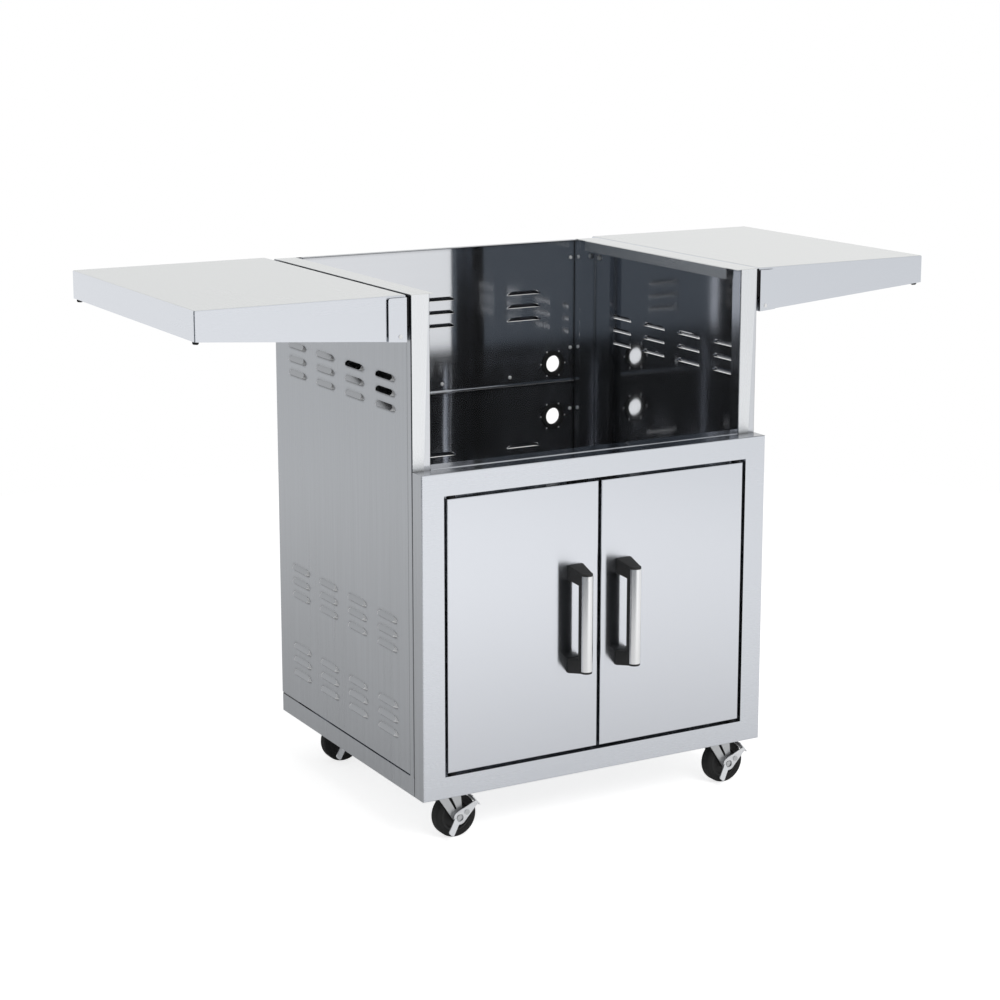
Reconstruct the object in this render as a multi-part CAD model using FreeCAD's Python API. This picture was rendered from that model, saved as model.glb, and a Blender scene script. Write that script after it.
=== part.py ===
import FreeCAD
import Part
import math
import os

V = FreeCAD.Vector
os.makedirs("parts", exist_ok=True)

# Stainless grill cart: an open-topped cabinet on four braked swivel casters, with two doors in a
# proud frame and two side shelves that fold down. Millimetres, +Z up, the doors face -Y. The
# origin is on the floor under the middle of the overall box.

# Overall sizes
body_width = 665.0
body_depth = 557.0
worktop_height = 914.0

# Sheet, folds and fits
sheet = 1.2
plate = 2.0
fold = 0.8
seam = 0.6
apart = 0.4
running = 0.05
bolt_slack = 0.1

# Casters
wheel_diameter = 75.0
wheel_width = 22.0
hub_width = 24.0
hub_radius = 27.0
tyre_round = 4.5
caster_build = 27.0
caster_trail = 17.0
caster_plate_size = 66.0
caster_plate_thickness = 2.8
caster_side_inset = 62.5
front_caster_setback = 46.5
rear_caster_setback = 78.5
kingpin_radius = 5.0
kingpin_head_radius = 8.0
kingpin_head_height = 2.3
race_radius = 24.0
race_height = 9.9
race_gap = 0.3
crown_clearance = 4.5
fork_sheet = 2.5
fork_half_length = 22.0
fork_boss_radius = 9.5
fork_side_gap = 1.2
fork_slot_width = 5.4
axle_radius = 4.0
axle_nut_radius = 7.0
axle_nut_height = 4.8
caster_bolt_radius = 4.0
caster_bolt_spacing = 46.0
bolt_head_radius = 6.5
bolt_head_height = 3.2

# Brake lever, placed from the axle
lever_sheet = 1.8
lever_gap = 0.9
lever_pivot = (13.3, 8.0)
lever_pin_radius = 3.0
lever_pin_shoulder = 4.6
lever_body_radius = 11.5
lever_tip_angle = 35.4
lever_tip_inside = 1.3
lever_tip_radius = 4.0
lever_axle_clearance = 2.6
wing_length = 30.0
wing_width = 12.0
wing_fold_offset = 7.0
wing_drop = 4.0
wing_bend = 24.0
wing_slope = 46.0
shoe_angle = 39.0
shoe_gap = 1.7
shoe_length = 22.0
shoe_overlap = 9.0

# Base
base_recess = 17.0
skirt_height = 32.0
skirt_lip = 12.0
channel_web = 84.0
channel_flange = 12.0
channel_overrun = 42.0
panel_lift = 3.0

# Door frame and doors
frame_depth = 33.0
frame_height = 544.0
frame_side = 40.0
frame_rail = 37.0
frame_lip = 12.0
frame_shadow = 2.0
door_gap = 5.6
door_thickness = 22.0
liner_border = 40.0
liner_recess = 6.0
pivot_inset = 10.9
pivot_depth = 8.0
pivot_radius = 4.0
pivot_reach = 12.0
collar_radius = 7.0
pivot_head_radius = 6.5
pivot_head_height = 1.8
catch_width = 36.0
catch_height = 11.0
catch_from_centre = 10.0
strike_width = 30.0
strike_height = 9.0
strike_drop = 1.5

# Door handles
handle_from_centre = 47.0
handle_radius = 10.75
handle_wall = 1.5
handle_standoff = 36.0
handle_tube_length = 167.0
handle_cap = 2.0
bracket_base_width = 30.0
bracket_base_height = 26.0
bracket_tip_height = 23.0
bracket_rise = 7.5

# Posts, sill and top caps
post_face = 34.0
post_return = 14.0
post_inner_return = 25.0
rear_post_back = 47.0
rear_post_side = 68.0
rear_post_lip = 20.0
sill_rise = 1.2
sill_drop = 30.0
sill_shelf = 33.0
cap_width = 42.0
cap_return = 20.0
cap_front_stop = 34.0
cap_rear_stop = 30.0

# Back panels and hose holes
back_joint_rise = 16.5
back_top_flange = 15.0
back_joint_flange = 10.0
hose_from_centre = 238.0
hose_up = 34.0
hose_down = 67.0
hose_hole_radius = 20.0
grommet_bore_radius = 16.0
grommet_rim_radius = 24.0
grommet_rim = 3.0
grommet_slack = 0.3

# Louvres
louvre_length = 72.0
louvre_height = 9.0
louvre_bulge = 4.6
louvre_end = 20.0
louvre_crown = 1.2
louvre_brow = 0.97
louvre_wall = 1.0
louvre_pitch = 24.6
louvre_rows = 3
side_columns = 4
side_column_pitch = 113.2
side_top_drop = 146.0
side_middle_rise = 225.0
side_lower_rise = 79.5
back_columns = 3
back_column_pitch = 182.0
back_column_shift = -8.0
upper_back_share = 0.5415
lower_back_drop = 121.5

# Side shelves and their hinges
shelf_length = 354.5
shelf_rear_overhang = 24.5
shelf_side_gap = 6.7
shelf_inner_depth = 75.0
shelf_outer_depth = 48.0
shelf_lip = 12.0
shelf_round = 2.4
stiffener_web = 46.0
stiffener_flange = 12.0
stiffener_depth = 15.0
bumper_radius = 5.0
bumper_height = 5.0
bumper_inset = 13.0
hinge_plate_sheet = 1.5
hinge_plate_width = 31.8
hinge_plate_top = 4.0
hinge_plate_round = 4.0
hinge_plate_foot = 7.0
shelf_pivot_out = 18.0
shelf_pivot_up = 9.5
shelf_pin_radius = 3.0
shelf_pin_head_radius = 4.6
shelf_pin_head_height = 1.6
cheek_finger_radius = 6.0
cheek_step_up = 16.0
bracket_leg = 46.0
bracket_bolt_back = 20.0
bracket_bolt_up = (29.0, 48.0)
bracket_bolt_radius = 3.0
bracket_bolt_head_radius = 5.2
bracket_bolt_head_height = 1.8
bracket_nut_height = 3.0

# Places worked out from the sizes above
hinge_stack = hinge_plate_sheet + plate + 2 * apart
half = body_width / 2
handle_reach = handle_standoff + handle_radius
overall_depth = handle_reach + body_depth + shelf_rear_overhang + hinge_stack
front_y = handle_reach - overall_depth / 2
rear_y = front_y + body_depth
post_y = front_y + frame_depth
caster_height = wheel_diameter + caster_build
frame_bottom = caster_height - base_recess
base_top = frame_bottom + skirt_height
frame_top = frame_bottom + frame_height
opening_half = half - frame_side
opening_bottom = frame_bottom + frame_rail
opening_top = frame_top - frame_rail
panel_top = worktop_height - sheet
joint_z = frame_top + back_joint_rise
back_in = rear_y - sheet
caster_x = half - caster_side_inset
front_caster_y = front_y + front_caster_setback
rear_caster_y = rear_y - rear_caster_setback
axle_z = wheel_diameter / 2
shelf_in = half + shelf_side_gap
shelf_out = shelf_in + shelf_length
shelf_front = post_y + hinge_stack
shelf_rear = rear_y + shelf_rear_overhang
shelf_middle = (shelf_front + shelf_rear) / 2
shelf_slope = (shelf_inner_depth - shelf_outer_depth) / shelf_length
shelf_pivot_x = half + shelf_pivot_out
shelf_pivot_z = worktop_height - shelf_inner_depth + shelf_pivot_up
outer_fold = fold + sheet


def save(name, shape):
    """Write one node, either a solid or a list of separate solids."""
    if isinstance(shape, list):
        shape = Part.makeCompound(shape)
    shape.exportStep("parts/" + name + ".step")


def box(low, high):
    """A block between two corners."""
    size = [b - a for a, b in zip(low, high)]
    return Part.makeBox(size[0], size[1], size[2], V(*low))


def rod(radius, start, end):
    """A round bar from one point to another."""
    run = V(*end) - V(*start)
    return Part.makeCylinder(radius, run.Length, V(*start), run)


def hexagon(radius, start, end):
    """A six-sided bar, radius to the corners, from one point to another."""
    run = V(*end) - V(*start)
    angles = [k * math.pi / 3 for k in range(7)]
    corners = [V(radius * math.cos(angle), radius * math.sin(angle), 0) for angle in angles]
    bar = Part.Face(Part.makePolygon(corners)).extrude(V(0, 0, run.Length))
    bar.Placement = FreeCAD.Placement(V(*start), FreeCAD.Rotation(V(0, 0, 1), run))
    return bar


def mirrored(shape):
    """The same piece on the other side of the cart."""
    return shape.mirror(V(0, 0, 0), V(1, 0, 0))


def moved(shape, x, y, z):
    """A copy of a piece shifted by a distance."""
    copy = shape.copy()
    copy.translate(V(x, y, z))
    return copy


def in_space(along, a, b, c):
    """A profile point: a and b across the run, c along it."""
    return {"x": V(c, a, b), "y": V(a, c, b), "z": V(a, b, c)}[along]


def prism(points, along, start, end):
    """A straight-sided outline run along an axis."""
    corners = [in_space(along, a, b, start) for a, b in points]
    run = in_space(along, 0, 0, end) - in_space(along, 0, 0, start)
    return Part.Face(Part.makePolygon(corners + corners[:1])).extrude(run)


def rounded(shape, radius, wanted):
    """Round the edges whose middle point passes a test."""
    edges = [edge for edge in shape.Edges if wanted(edge.CenterOfMass, edge)]
    return shape.makeFillet(radius, edges)


def edges_at(shape, along, point):
    """The edges that run along an axis through one profile point."""
    found = []
    for edge in shape.Edges:
        ends = [vertex.Point for vertex in edge.Vertexes]
        flat = [in_space(along, point[0], point[1], getattr(end, along)) for end in ends]
        if len(ends) == 2 and all((end - spot).Length < 1e-6 for end, spot in zip(ends, flat)):
            found.append(edge)
    return found


def bent_sheet(path, thickness, along, start, end):
    """A sheet folded along a path of straight runs; positive thickness lies left of the path."""
    runs = []
    for (a0, b0), (a1, b1) in zip(path, path[1:]):
        length = math.hypot(a1 - a0, b1 - b0)
        runs.append(((a1 - a0) / length, (b1 - b0) / length))
    inner = []
    for k, (a, b) in enumerate(path):
        before = runs[max(k - 1, 0)]
        after = runs[min(k, len(runs) - 1)]
        lean = 1 + before[0] * after[0] + before[1] * after[1]
        shift_a = -(before[1] + after[1]) / lean * thickness
        shift_b = (before[0] + after[0]) / lean * thickness
        inner.append((a + shift_a, b + shift_b))
    solid = prism(path + inner[::-1], along, start, end)
    for k in range(1, len(path) - 1):
        turn = runs[k - 1][0] * runs[k][1] - runs[k - 1][1] * runs[k][0]
        path_is_outside = turn * thickness > 0
        path_radius = fold + abs(thickness) if path_is_outside else fold
        other_radius = fold if path_is_outside else fold + abs(thickness)
        solid = solid.makeFillet(path_radius, edges_at(solid, along, path[k]))
        solid = solid.makeFillet(other_radius, edges_at(solid, along, inner[k]))
    return solid


def hat(centre, web, flange, top, depth, thickness, start, end):
    """A hat channel along Y that hangs by its flanges under a flat sheet."""
    side = web / 2
    floor = top - depth + thickness
    path = [(centre - side - flange, top), (centre - side, top), (centre - side, floor)]
    path += [(centre + side, floor), (centre + side, top), (centre + side + flange, top)]
    return bent_sheet(path, -thickness, "y", start, end)


def tangent_outline(centre_a, radius_a, centre_b, radius_b):
    """The outline of two discs and the straight tangents between them, in X and Z."""
    run = (centre_b[0] - centre_a[0], centre_b[1] - centre_a[1])
    heading = math.atan2(run[1], run[0])
    spread = math.acos((radius_a - radius_b) / math.hypot(run[0], run[1]))

    def spot(centre, radius, angle):
        return V(centre[0] + radius * math.cos(angle), 0, centre[1] + radius * math.sin(angle))

    low_a, low_b = spot(centre_a, radius_a, heading - spread), spot(centre_b, radius_b, heading - spread)
    high_a, high_b = spot(centre_a, radius_a, heading + spread), spot(centre_b, radius_b, heading + spread)
    tip = Part.Arc(low_b, spot(centre_b, radius_b, heading), high_b)
    root = Part.Arc(high_a, spot(centre_a, radius_a, heading + math.pi), low_a)
    lines = [Part.LineSegment(low_a, low_b), tip, Part.LineSegment(high_b, high_a), root]
    return Part.Face(Part.Wire([line.toShape() for line in lines]))


def turned(points, centre, axis):
    """A ring made by turning a radius and height outline about an axis."""
    corners = [V(radius, 0, height) for radius, height in points]
    face = Part.Face(Part.makePolygon(corners + corners[:1]))
    ring = face.revolve(V(0, 0, 0), V(0, 0, 1), 360)
    ring.Placement = FreeCAD.Placement(V(*centre), FreeCAD.Rotation(V(0, 0, 1), V(*axis)))
    return ring


# Louvres: pressed hoods, open below, with domed ends

def louvre_dome(length, height, bulge):
    """The space under one hood: length along X, a flat slope with domed ends, open at Z=0."""
    setback = math.sqrt(0.75)
    end = louvre_end / setback
    straight = (length - 2 * louvre_end) / end
    side = straight / 2
    arc_right = Part.Arc(V(side + 1, 0, 0), V(side + math.sqrt(0.5), -math.sqrt(0.5), 0), V(side, -1, 0))
    arc_left = Part.Arc(V(-side, -1, 0), V(-side - math.sqrt(0.5), -math.sqrt(0.5), 0), V(-side - 1, 0, 0))
    top = Part.makeLine(V(side, -1, 0), V(-side, -1, 0))
    axis = Part.makeLine(V(-side - 1, 0, 0), V(side + 1, 0, 0))
    outline = Part.Face(Part.Wire([arc_right.toShape(), top, arc_left.toShape(), axis]))
    capsule = outline.revolve(V(0, 0, 0), V(1, 0, 0), 360)
    crown = bulge * louvre_crown
    stretch = FreeCAD.Matrix()
    stretch.scale(end, 2 * crown, height / setback)
    dome = capsule.transformGeometry(stretch)
    dome.translate(V(0, -crown, 0))
    brow = height * louvre_brow
    slope = [(-sheet, 0), (bulge, 0), (0, brow), (-sheet, brow)]
    return dome.common(prism(slope, "x", -length, length))


def louvre_hood():
    """One hood standing on the panel's outer face, and the slot behind it."""
    outside = louvre_dome(louvre_length, louvre_height, louvre_bulge)
    outside = outside.common(box((-louvre_length, 0, 0), (louvre_length, louvre_length, louvre_length)))
    narrow = louvre_length - 2 * louvre_wall
    slot = louvre_dome(narrow, louvre_height - louvre_wall, louvre_bulge - louvre_wall)
    return outside.cut(slot), slot


hood_shape, slot_shape = louvre_hood()


def pressed(panel, places, turn):
    """Press a louvre out of a panel at each place; turn is the angle about Z from +Y."""
    hoods = []
    slots = []
    for place in places:
        for source, store in ((hood_shape, hoods), (slot_shape, slots)):
            copy = source.copy()
            copy.rotate(V(0, 0, 0), V(0, 0, 1), turn)
            copy.translate(V(*place))
            store.append(copy)
    return panel.cut(slots).fuse(hoods)


def louvre_rows_at(lowest):
    """Heights of one group of louvres, from the lowest up."""
    return [lowest + row * louvre_pitch for row in range(louvre_rows)]


# Base pan, caster channels

def base_pan():
    """An inverted tray with lipped skirts, and a tongue that runs on inside the door frame."""
    outer = box((-half, post_y, frame_bottom), (half, rear_y, base_top))
    outer = rounded(outer, outer_fold,
                    lambda c, e: abs(c.y - rear_y) < 1e-6 and abs(abs(c.x) - half) < 1e-6)
    hollow = box(
        (sheet - half, post_y - 1, frame_bottom + sheet),
        (half - sheet, back_in, base_top - sheet),
    )
    mouth = box(
        (skirt_lip - half, post_y - 1, frame_bottom - 1),
        (half - skirt_lip, rear_y - skirt_lip, base_top - 9),
    )
    tongue = box(
        (skirt_lip - half, front_y + 4 * sheet, base_top - sheet),
        (half - skirt_lip, post_y, base_top),
    )
    return outer.cut([hollow, mouth]).fuse(tongue).removeSplitter()


def caster_places():
    """Name and kingpin position of each caster."""
    rows = (("front", front_caster_y), ("rear", rear_caster_y))
    sides = (("left", -caster_x), ("right", caster_x))
    return [(row + "_" + side, x, y) for row, y in rows for side, x in sides]


def bolt_places():
    """The sixteen caster bolts."""
    reach = caster_bolt_spacing / 2
    corners = [(-reach, -reach), (reach, -reach), (-reach, reach), (reach, reach)]
    return [(x + dx, y + dy) for _, x, y in caster_places() for dx, dy in corners]


def caster_channels():
    """Two hat channels under the pan, drilled for the caster bolts."""
    top = base_top - sheet
    start = max(front_caster_y - channel_overrun, front_y + 4 * sheet)
    end = rear_caster_y + channel_overrun
    holes = [rod(caster_bolt_radius + bolt_slack, (x, y, 0), (x, y, top)) for x, y in bolt_places()]
    pair = []
    for x in (-caster_x, caster_x):
        channel = hat(x, channel_web, channel_flange, top, top - caster_height, plate, start, end)
        pair.append(channel.cut(holes))
    return pair


# Posts, panels, caps and sill; the right-hand pieces are drawn and the left ones mirrored

def bracket_bolt_places():
    """Y, Z and inner nut face of each bolt that holds the right shelf's brackets."""
    front = post_y + hinge_plate_sheet + apart + bracket_bolt_back
    rear = shelf_rear + apart + plate - shelf_rear_overhang - bracket_bolt_back
    heights = [shelf_pivot_z + up for up in bracket_bolt_up]
    return [(y, z, half - layers * sheet) for y, layers in ((front, 1), (rear, 2)) for z in heights]


def bracket_bolt_holes():
    """The clearance holes for those bolts."""
    radius = bracket_bolt_radius + bolt_slack
    return [rod(radius, (half - 9, y, z), (half + 9, y, z)) for y, z, _ in bracket_bolt_places()]


def front_post():
    """A channel post: side return, front face and inner return."""
    path = [(half, post_y + post_return), (half, post_y), (half - post_face, post_y)]
    path += [(half - post_face, post_y + post_inner_return)]
    return bent_sheet(path, -sheet, "z", base_top, panel_top)


def rear_post():
    """A corner post inside the panels, with a lip along the back leg."""
    side = half - sheet
    path = [(side, back_in - rear_post_side), (side, back_in), (side - rear_post_back, back_in)]
    path += [(side - rear_post_back, back_in - rear_post_lip)]
    return bent_sheet(path, sheet, "z", base_top, panel_top).cut(bracket_bolt_holes())


def side_panel():
    """A flat side with three bands of pressed louvres."""
    start = post_y + post_return + seam
    low = base_top + panel_lift
    panel = box((half - sheet, start, low), (half, rear_y, panel_top)).cut(bracket_bolt_holes())
    middle = (post_y + rear_y) / 2
    columns = [middle + (k - (side_columns - 1) / 2) * side_column_pitch for k in range(side_columns)]
    lower_group = base_top + side_lower_rise - louvre_pitch
    middle_group = base_top + side_middle_rise - louvre_pitch
    top_group = worktop_height - side_top_drop - (louvre_rows - 1) * louvre_pitch
    heights = []
    for lowest in (lower_group, middle_group, top_group):
        heights += louvre_rows_at(lowest)
    return pressed(panel, [(half, y, z) for y in columns for z in heights], -90)


def top_cap():
    """The flat rim beside the opening, with a down-turned inner strip that stops behind the post."""
    path = [(half, worktop_height), (half - cap_width, worktop_height)]
    path += [(half - cap_width, worktop_height - cap_return)]
    end = back_in - bolt_slack
    cap = bent_sheet(path, sheet, "y", post_y, end)
    inner = half - cap_width
    low = worktop_height - cap_return
    front_notch = box((inner - 1, post_y - 1, low - 1), (inner + 4, post_y + cap_front_stop, panel_top))
    rear_notch = box((inner - 1, rear_y - cap_rear_stop, low - 1), (inner + 4, rear_y, panel_top))
    return cap.cut([front_notch, rear_notch])


def back_panel(path, thickness, louvre_low, hose_z):
    """A back panel with folded flanges, louvres and a hose hole."""
    side = half - sheet - bolt_slack * 3
    panel = bent_sheet(path, thickness, "x", -side, side)
    heights = [z for _, z in path]
    clear = half - sheet - rear_post_back - seam
    for x0, x1 in ((-half, -clear), (clear, half)):
        panel = panel.cut(box((x0, rear_y - 60, min(heights) - 1), (x1, back_in, max(heights) + 1)))
    x = hose_from_centre
    panel = panel.cut(rod(hose_hole_radius, (x, rear_y - 50, hose_z), (x, rear_y + 9, hose_z)))
    shift = (back_columns - 1) / 2
    columns = [back_column_shift + (k - shift) * back_column_pitch for k in range(back_columns)]
    return pressed(panel, [(x, rear_y, z) for x in columns for z in louvre_rows_at(louvre_low)], 0)


def upper_back_panel():
    """From the worktop down to the joint."""
    low = joint_z + seam / 2
    path = [(rear_y - back_top_flange, worktop_height), (rear_y, worktop_height), (rear_y, low)]
    path += [(rear_y - back_joint_flange, low)]
    middle = joint_z + upper_back_share * (worktop_height - joint_z)
    lowest = middle - (louvre_rows - 1) / 2 * louvre_pitch
    return back_panel(path, -sheet, lowest, joint_z + hose_up)


def lower_back_panel():
    """From the joint down to the pan."""
    high = joint_z - seam / 2
    path = [(rear_y, base_top), (rear_y, high), (rear_y - back_joint_flange, high)]
    lowest = joint_z - lower_back_drop - (louvre_rows - 1) * louvre_pitch
    return back_panel(path, sheet, lowest, joint_z - hose_down)


def hose_grommets():
    """Two rubber rings that line the hose holes."""
    neck = hose_hole_radius - grommet_slack
    soft = grommet_rim / 3
    outline = [(grommet_bore_radius, -grommet_rim), (grommet_rim_radius - soft, -grommet_rim)]
    outline += [(grommet_rim_radius, soft - grommet_rim), (grommet_rim_radius, 0), (neck, 0), (neck, sheet)]
    outline += [(grommet_rim_radius, sheet), (grommet_rim_radius, sheet + grommet_rim - soft)]
    front = sheet + grommet_rim
    outline += [(grommet_rim_radius - soft, front), (grommet_bore_radius, front)]
    heights = (joint_z + hose_up, joint_z - hose_down)
    return [turned(outline, (hose_from_centre, back_in, z), (0, 1, 0)) for z in heights]


def front_sill():
    """The cross rail between the front posts, behind the frame's top ledge."""
    top = frame_top + sill_rise
    path = [(post_y, frame_top - sill_drop), (post_y, top), (post_y + sill_shelf, top)]
    side = half - post_face - bolt_slack * 3
    return bent_sheet(path, -sheet, "x", -side, side)


# Door frame, doors and their fittings

def pivot_places():
    """The doors' two hinge axes, left then right."""
    x = opening_half - door_gap - pivot_inset
    return [(-x, front_y + pivot_depth), (x, front_y + pivot_depth)]


def door_frame():
    """A picture frame of folded sheet round the doors, open at the back."""
    outer = box((-half, front_y, frame_bottom), (half, post_y, frame_top))
    outer = rounded(outer, outer_fold, lambda c, e: abs(c.y - front_y) < 1e-6)
    opening = box((-opening_half, front_y - 1, opening_bottom), (opening_half, post_y + 1, opening_top))
    body = outer.cut(opening)
    inner_x, low, high = opening_half + sheet, opening_bottom - sheet, opening_top + sheet
    hollow = box(
        (sheet - half, front_y + sheet, frame_bottom + sheet),
        (half - sheet, post_y + 1, frame_top - sheet),
    )
    hollow = hollow.cut(box((-inner_x, front_y, low), (inner_x, post_y + 2, high)))
    below = box(
        (sheet - half, front_y + frame_lip, frame_bottom - 1),
        (half - sheet, post_y + 1, frame_bottom + sheet),
    )
    shadow = box((half - 2 * sheet, post_y - frame_shadow, 0), (half + 1, post_y + 1, worktop_height))
    hole = pivot_radius + bolt_slack
    holes = [rod(hole, (x, y, opening_bottom - 9), (x, y, opening_top + 9)) for x, y in pivot_places()]
    return body.cut([hollow, below, shadow, mirrored(shadow)] + holes)


def door_span():
    """The right door's outline: inner and outer X, bottom and top Z."""
    return door_gap / 2, opening_half - door_gap, opening_bottom + door_gap, opening_top - door_gap


def door_skin():
    """The door's front pan, with returns on all four sides and the pivot holes in two of them."""
    x0, x1, z0, z1 = door_span()
    back = front_y + door_thickness - sheet
    outer = box((x0, front_y, z0), (x1, back, z1))
    outer = rounded(outer, outer_fold, lambda c, e: abs(c.y - front_y) < 1e-6)
    hollow = box((x0 + sheet, front_y + sheet, z0 + sheet), (x1 - sheet, back + 1, z1 - sheet))
    px, py = pivot_places()[1]
    return outer.cut([hollow, rod(pivot_radius + running, (px, py, z0 - 1), (px, py, z1 + 1))])


def door_liner():
    """The door's back sheet with a shallow pressed field."""
    x0, x1, z0, z1 = door_span()
    back = front_y + door_thickness
    rim = box((x0 + apart, back - sheet, z0 + apart), (x1 - apart, back, z1 - apart))
    low = (x0 + liner_border, back - sheet - liner_recess, z0 + liner_border)
    high = (x1 - liner_border, back, z1 - liner_border)
    pocket = box(
        (low[0] + sheet, low[1] + sheet, low[2] + sheet),
        (high[0] - sheet, back + 1, high[2] - sheet),
    )
    return rim.fuse(box(low, high)).cut(pocket).removeSplitter()


def strike_plate():
    """The steel plate that the magnetic catch holds."""
    x0, _, _, z1 = door_span()
    back = front_y + door_thickness
    left = catch_from_centre + (catch_width - strike_width) / 2
    top = z1 - strike_drop
    return box((left, back, top - strike_height), (left + strike_width, back + sheet, top))


def magnetic_catches():
    """Two catches under the frame's top return."""
    start = front_y + door_thickness + sheet + bolt_slack * 3
    low = opening_top - catch_height
    catch = box((catch_from_centre, start, low), (catch_from_centre + catch_width, post_y, opening_top))
    return [mirrored(catch), catch]


def door_pivots():
    """A headed pin with a collar at the top and bottom of each door."""
    pins = []
    for x, y in pivot_places():
        for wall, inward in ((opening_bottom, 1), (opening_top, -1)):
            head = wall - inward * sheet
            pin = rod(pivot_radius, (x, y, head), (x, y, wall + inward * (door_gap + pivot_reach)))
            cap = rod(pivot_head_radius, (x, y, head - inward * pivot_head_height), (x, y, head))
            collar = rod(collar_radius, (x, y, wall), (x, y, wall + inward * (door_gap - apart)))
            pins.append(pin.fuse([cap, collar]).removeSplitter())
    return pins


def handle_tube():
    """The grip: a plain tube standing in front of the right door."""
    middle = (opening_bottom + opening_top) / 2
    axis_y = front_y - handle_standoff
    start = (handle_from_centre, axis_y, middle - handle_tube_length / 2)
    end = (handle_from_centre, axis_y, middle + handle_tube_length / 2)
    return rod(handle_radius, start, end).cut(rod(handle_radius - handle_wall, start, end))


def handle_bracket(way):
    """One black standoff: a tapered block with a cap over the tube's end; way is +1 at the top."""
    middle = (opening_bottom + opening_top) / 2
    axis_y = front_y - handle_standoff
    tube_end = handle_tube_length / 2
    tip_top = tube_end + handle_cap
    base_top_edge = tip_top + bracket_rise

    def section(y, width, low, high):
        spots = ((-width, low), (width, low), (width, high), (-width, high))
        corners = [V(handle_from_centre + x, y, middle + way * z) for x, z in spots]
        return Part.makePolygon(corners + corners[:1])

    base = section(front_y, bracket_base_width / 2, base_top_edge - bracket_base_height, base_top_edge)
    tip = section(axis_y, handle_radius, tip_top - bracket_tip_height, tip_top)
    block = Part.makeLoft([base, tip], True, True)
    near = (handle_from_centre, axis_y, middle + way * tube_end)
    far = (handle_from_centre, axis_y, middle + way * tip_top)
    cap = rod(handle_radius, near, far)
    tube = rod(handle_radius + running, (handle_from_centre, axis_y, middle), near)
    return block.cut(tube).fuse(cap).removeSplitter()


# Side shelves and their folding brackets

def shelf_underside(x):
    """Height of the shelf's lower edge at a distance out."""
    return worktop_height - shelf_inner_depth + (x - shelf_in) * shelf_slope


def shelf():
    """A tapered tray: flat top, four aprons and a lip round the underside."""
    outline = [(shelf_in, worktop_height), (shelf_out, worktop_height)]
    outline += [(shelf_out, shelf_underside(shelf_out)), (shelf_in, shelf_underside(shelf_in))]
    outer = prism(outline, "y", shelf_front, shelf_rear)
    outer = rounded(outer, shelf_round, lambda c, e: c.z > worktop_height - 1)

    def outer_corner(c, edge):
        at_end = abs(c.x - shelf_out) < 1
        at_side = min(abs(c.y - shelf_front), abs(c.y - shelf_rear)) < 1
        upright = shelf_underside(shelf_out) + 9 < c.z < worktop_height - 9
        return at_end and at_side and upright

    outer = rounded(outer, outer_fold, outer_corner)
    a, b = shelf_in + sheet, shelf_out - sheet
    lip_up = sheet * math.hypot(1, shelf_slope)
    inside = [(a, panel_top), (b, panel_top)]
    inside += [(b, shelf_underside(b) + lip_up), (a, shelf_underside(a) + lip_up)]
    hollow = prism(inside, "y", shelf_front + sheet, shelf_rear - sheet)
    mouth = box(
        (shelf_in + shelf_lip, shelf_front + shelf_lip, worktop_height - shelf_inner_depth - 1),
        (shelf_out - shelf_lip, shelf_rear - shelf_lip, shelf_underside(shelf_out) + 9),
    )
    pin = rod(shelf_pin_radius + running, (shelf_pivot_x, shelf_front - 1, shelf_pivot_z),
              (shelf_pivot_x, shelf_rear + 1, shelf_pivot_z))
    return outer.cut([hollow, mouth, pin])


def shelf_stiffener():
    """A hat channel welded under the middle of the shelf."""
    middle = (shelf_in + shelf_out) / 2
    start, end = shelf_front + sheet + apart, shelf_rear - sheet - apart
    return hat(middle, stiffener_web, stiffener_flange, panel_top, stiffener_depth, sheet, start, end)


def shelf_bumpers():
    """Rubber feet under the outer corners, square to the sloping lip."""
    x = shelf_out - bumper_inset + shelf_lip / 2
    lean = math.atan(shelf_slope)
    axis = (math.sin(lean), 0, -math.cos(lean))
    soft = bumper_height / 4
    outline = [(0, 0), (bumper_radius, 0), (bumper_radius, bumper_height - soft)]
    outline += [(bumper_radius - soft, bumper_height), (0, bumper_height)]
    places = (shelf_front + bumper_inset, shelf_rear - bumper_inset)
    return [turned(outline, (x, y, shelf_underside(x)), axis) for y in places]


def at_rear(shape):
    """The same fitting at the other end of the shelf."""
    return shape.mirror(V(0, shelf_middle, 0), V(0, 1, 0))


def hinge_plate():
    """The cover plate on the apron's inner end, joined to it by a foot below the fixed cheek."""
    x0, x1 = shelf_in, shelf_in + hinge_plate_width
    low0, low1 = shelf_underside(x0), shelf_underside(x1)
    top = worktop_height - hinge_plate_top
    face = prism([(x0, low0), (x1, low1), (x1, top), (x0, top)], "y", post_y, post_y + hinge_plate_sheet)
    face = rounded(face, hinge_plate_round, lambda c, e: abs(c.x - x1) < 1e-6 and abs(c.z - top) < 1e-6)
    foot = prism([(x0, low0), (x1, low1), (x1, low1 + sheet), (x0, low0 + sheet)], "y", post_y, shelf_front)
    corner = box((x1 - sheet, post_y, low1), (x1, shelf_front, low1 + hinge_plate_foot))
    return face.fuse([foot, corner]).removeSplitter()


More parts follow.
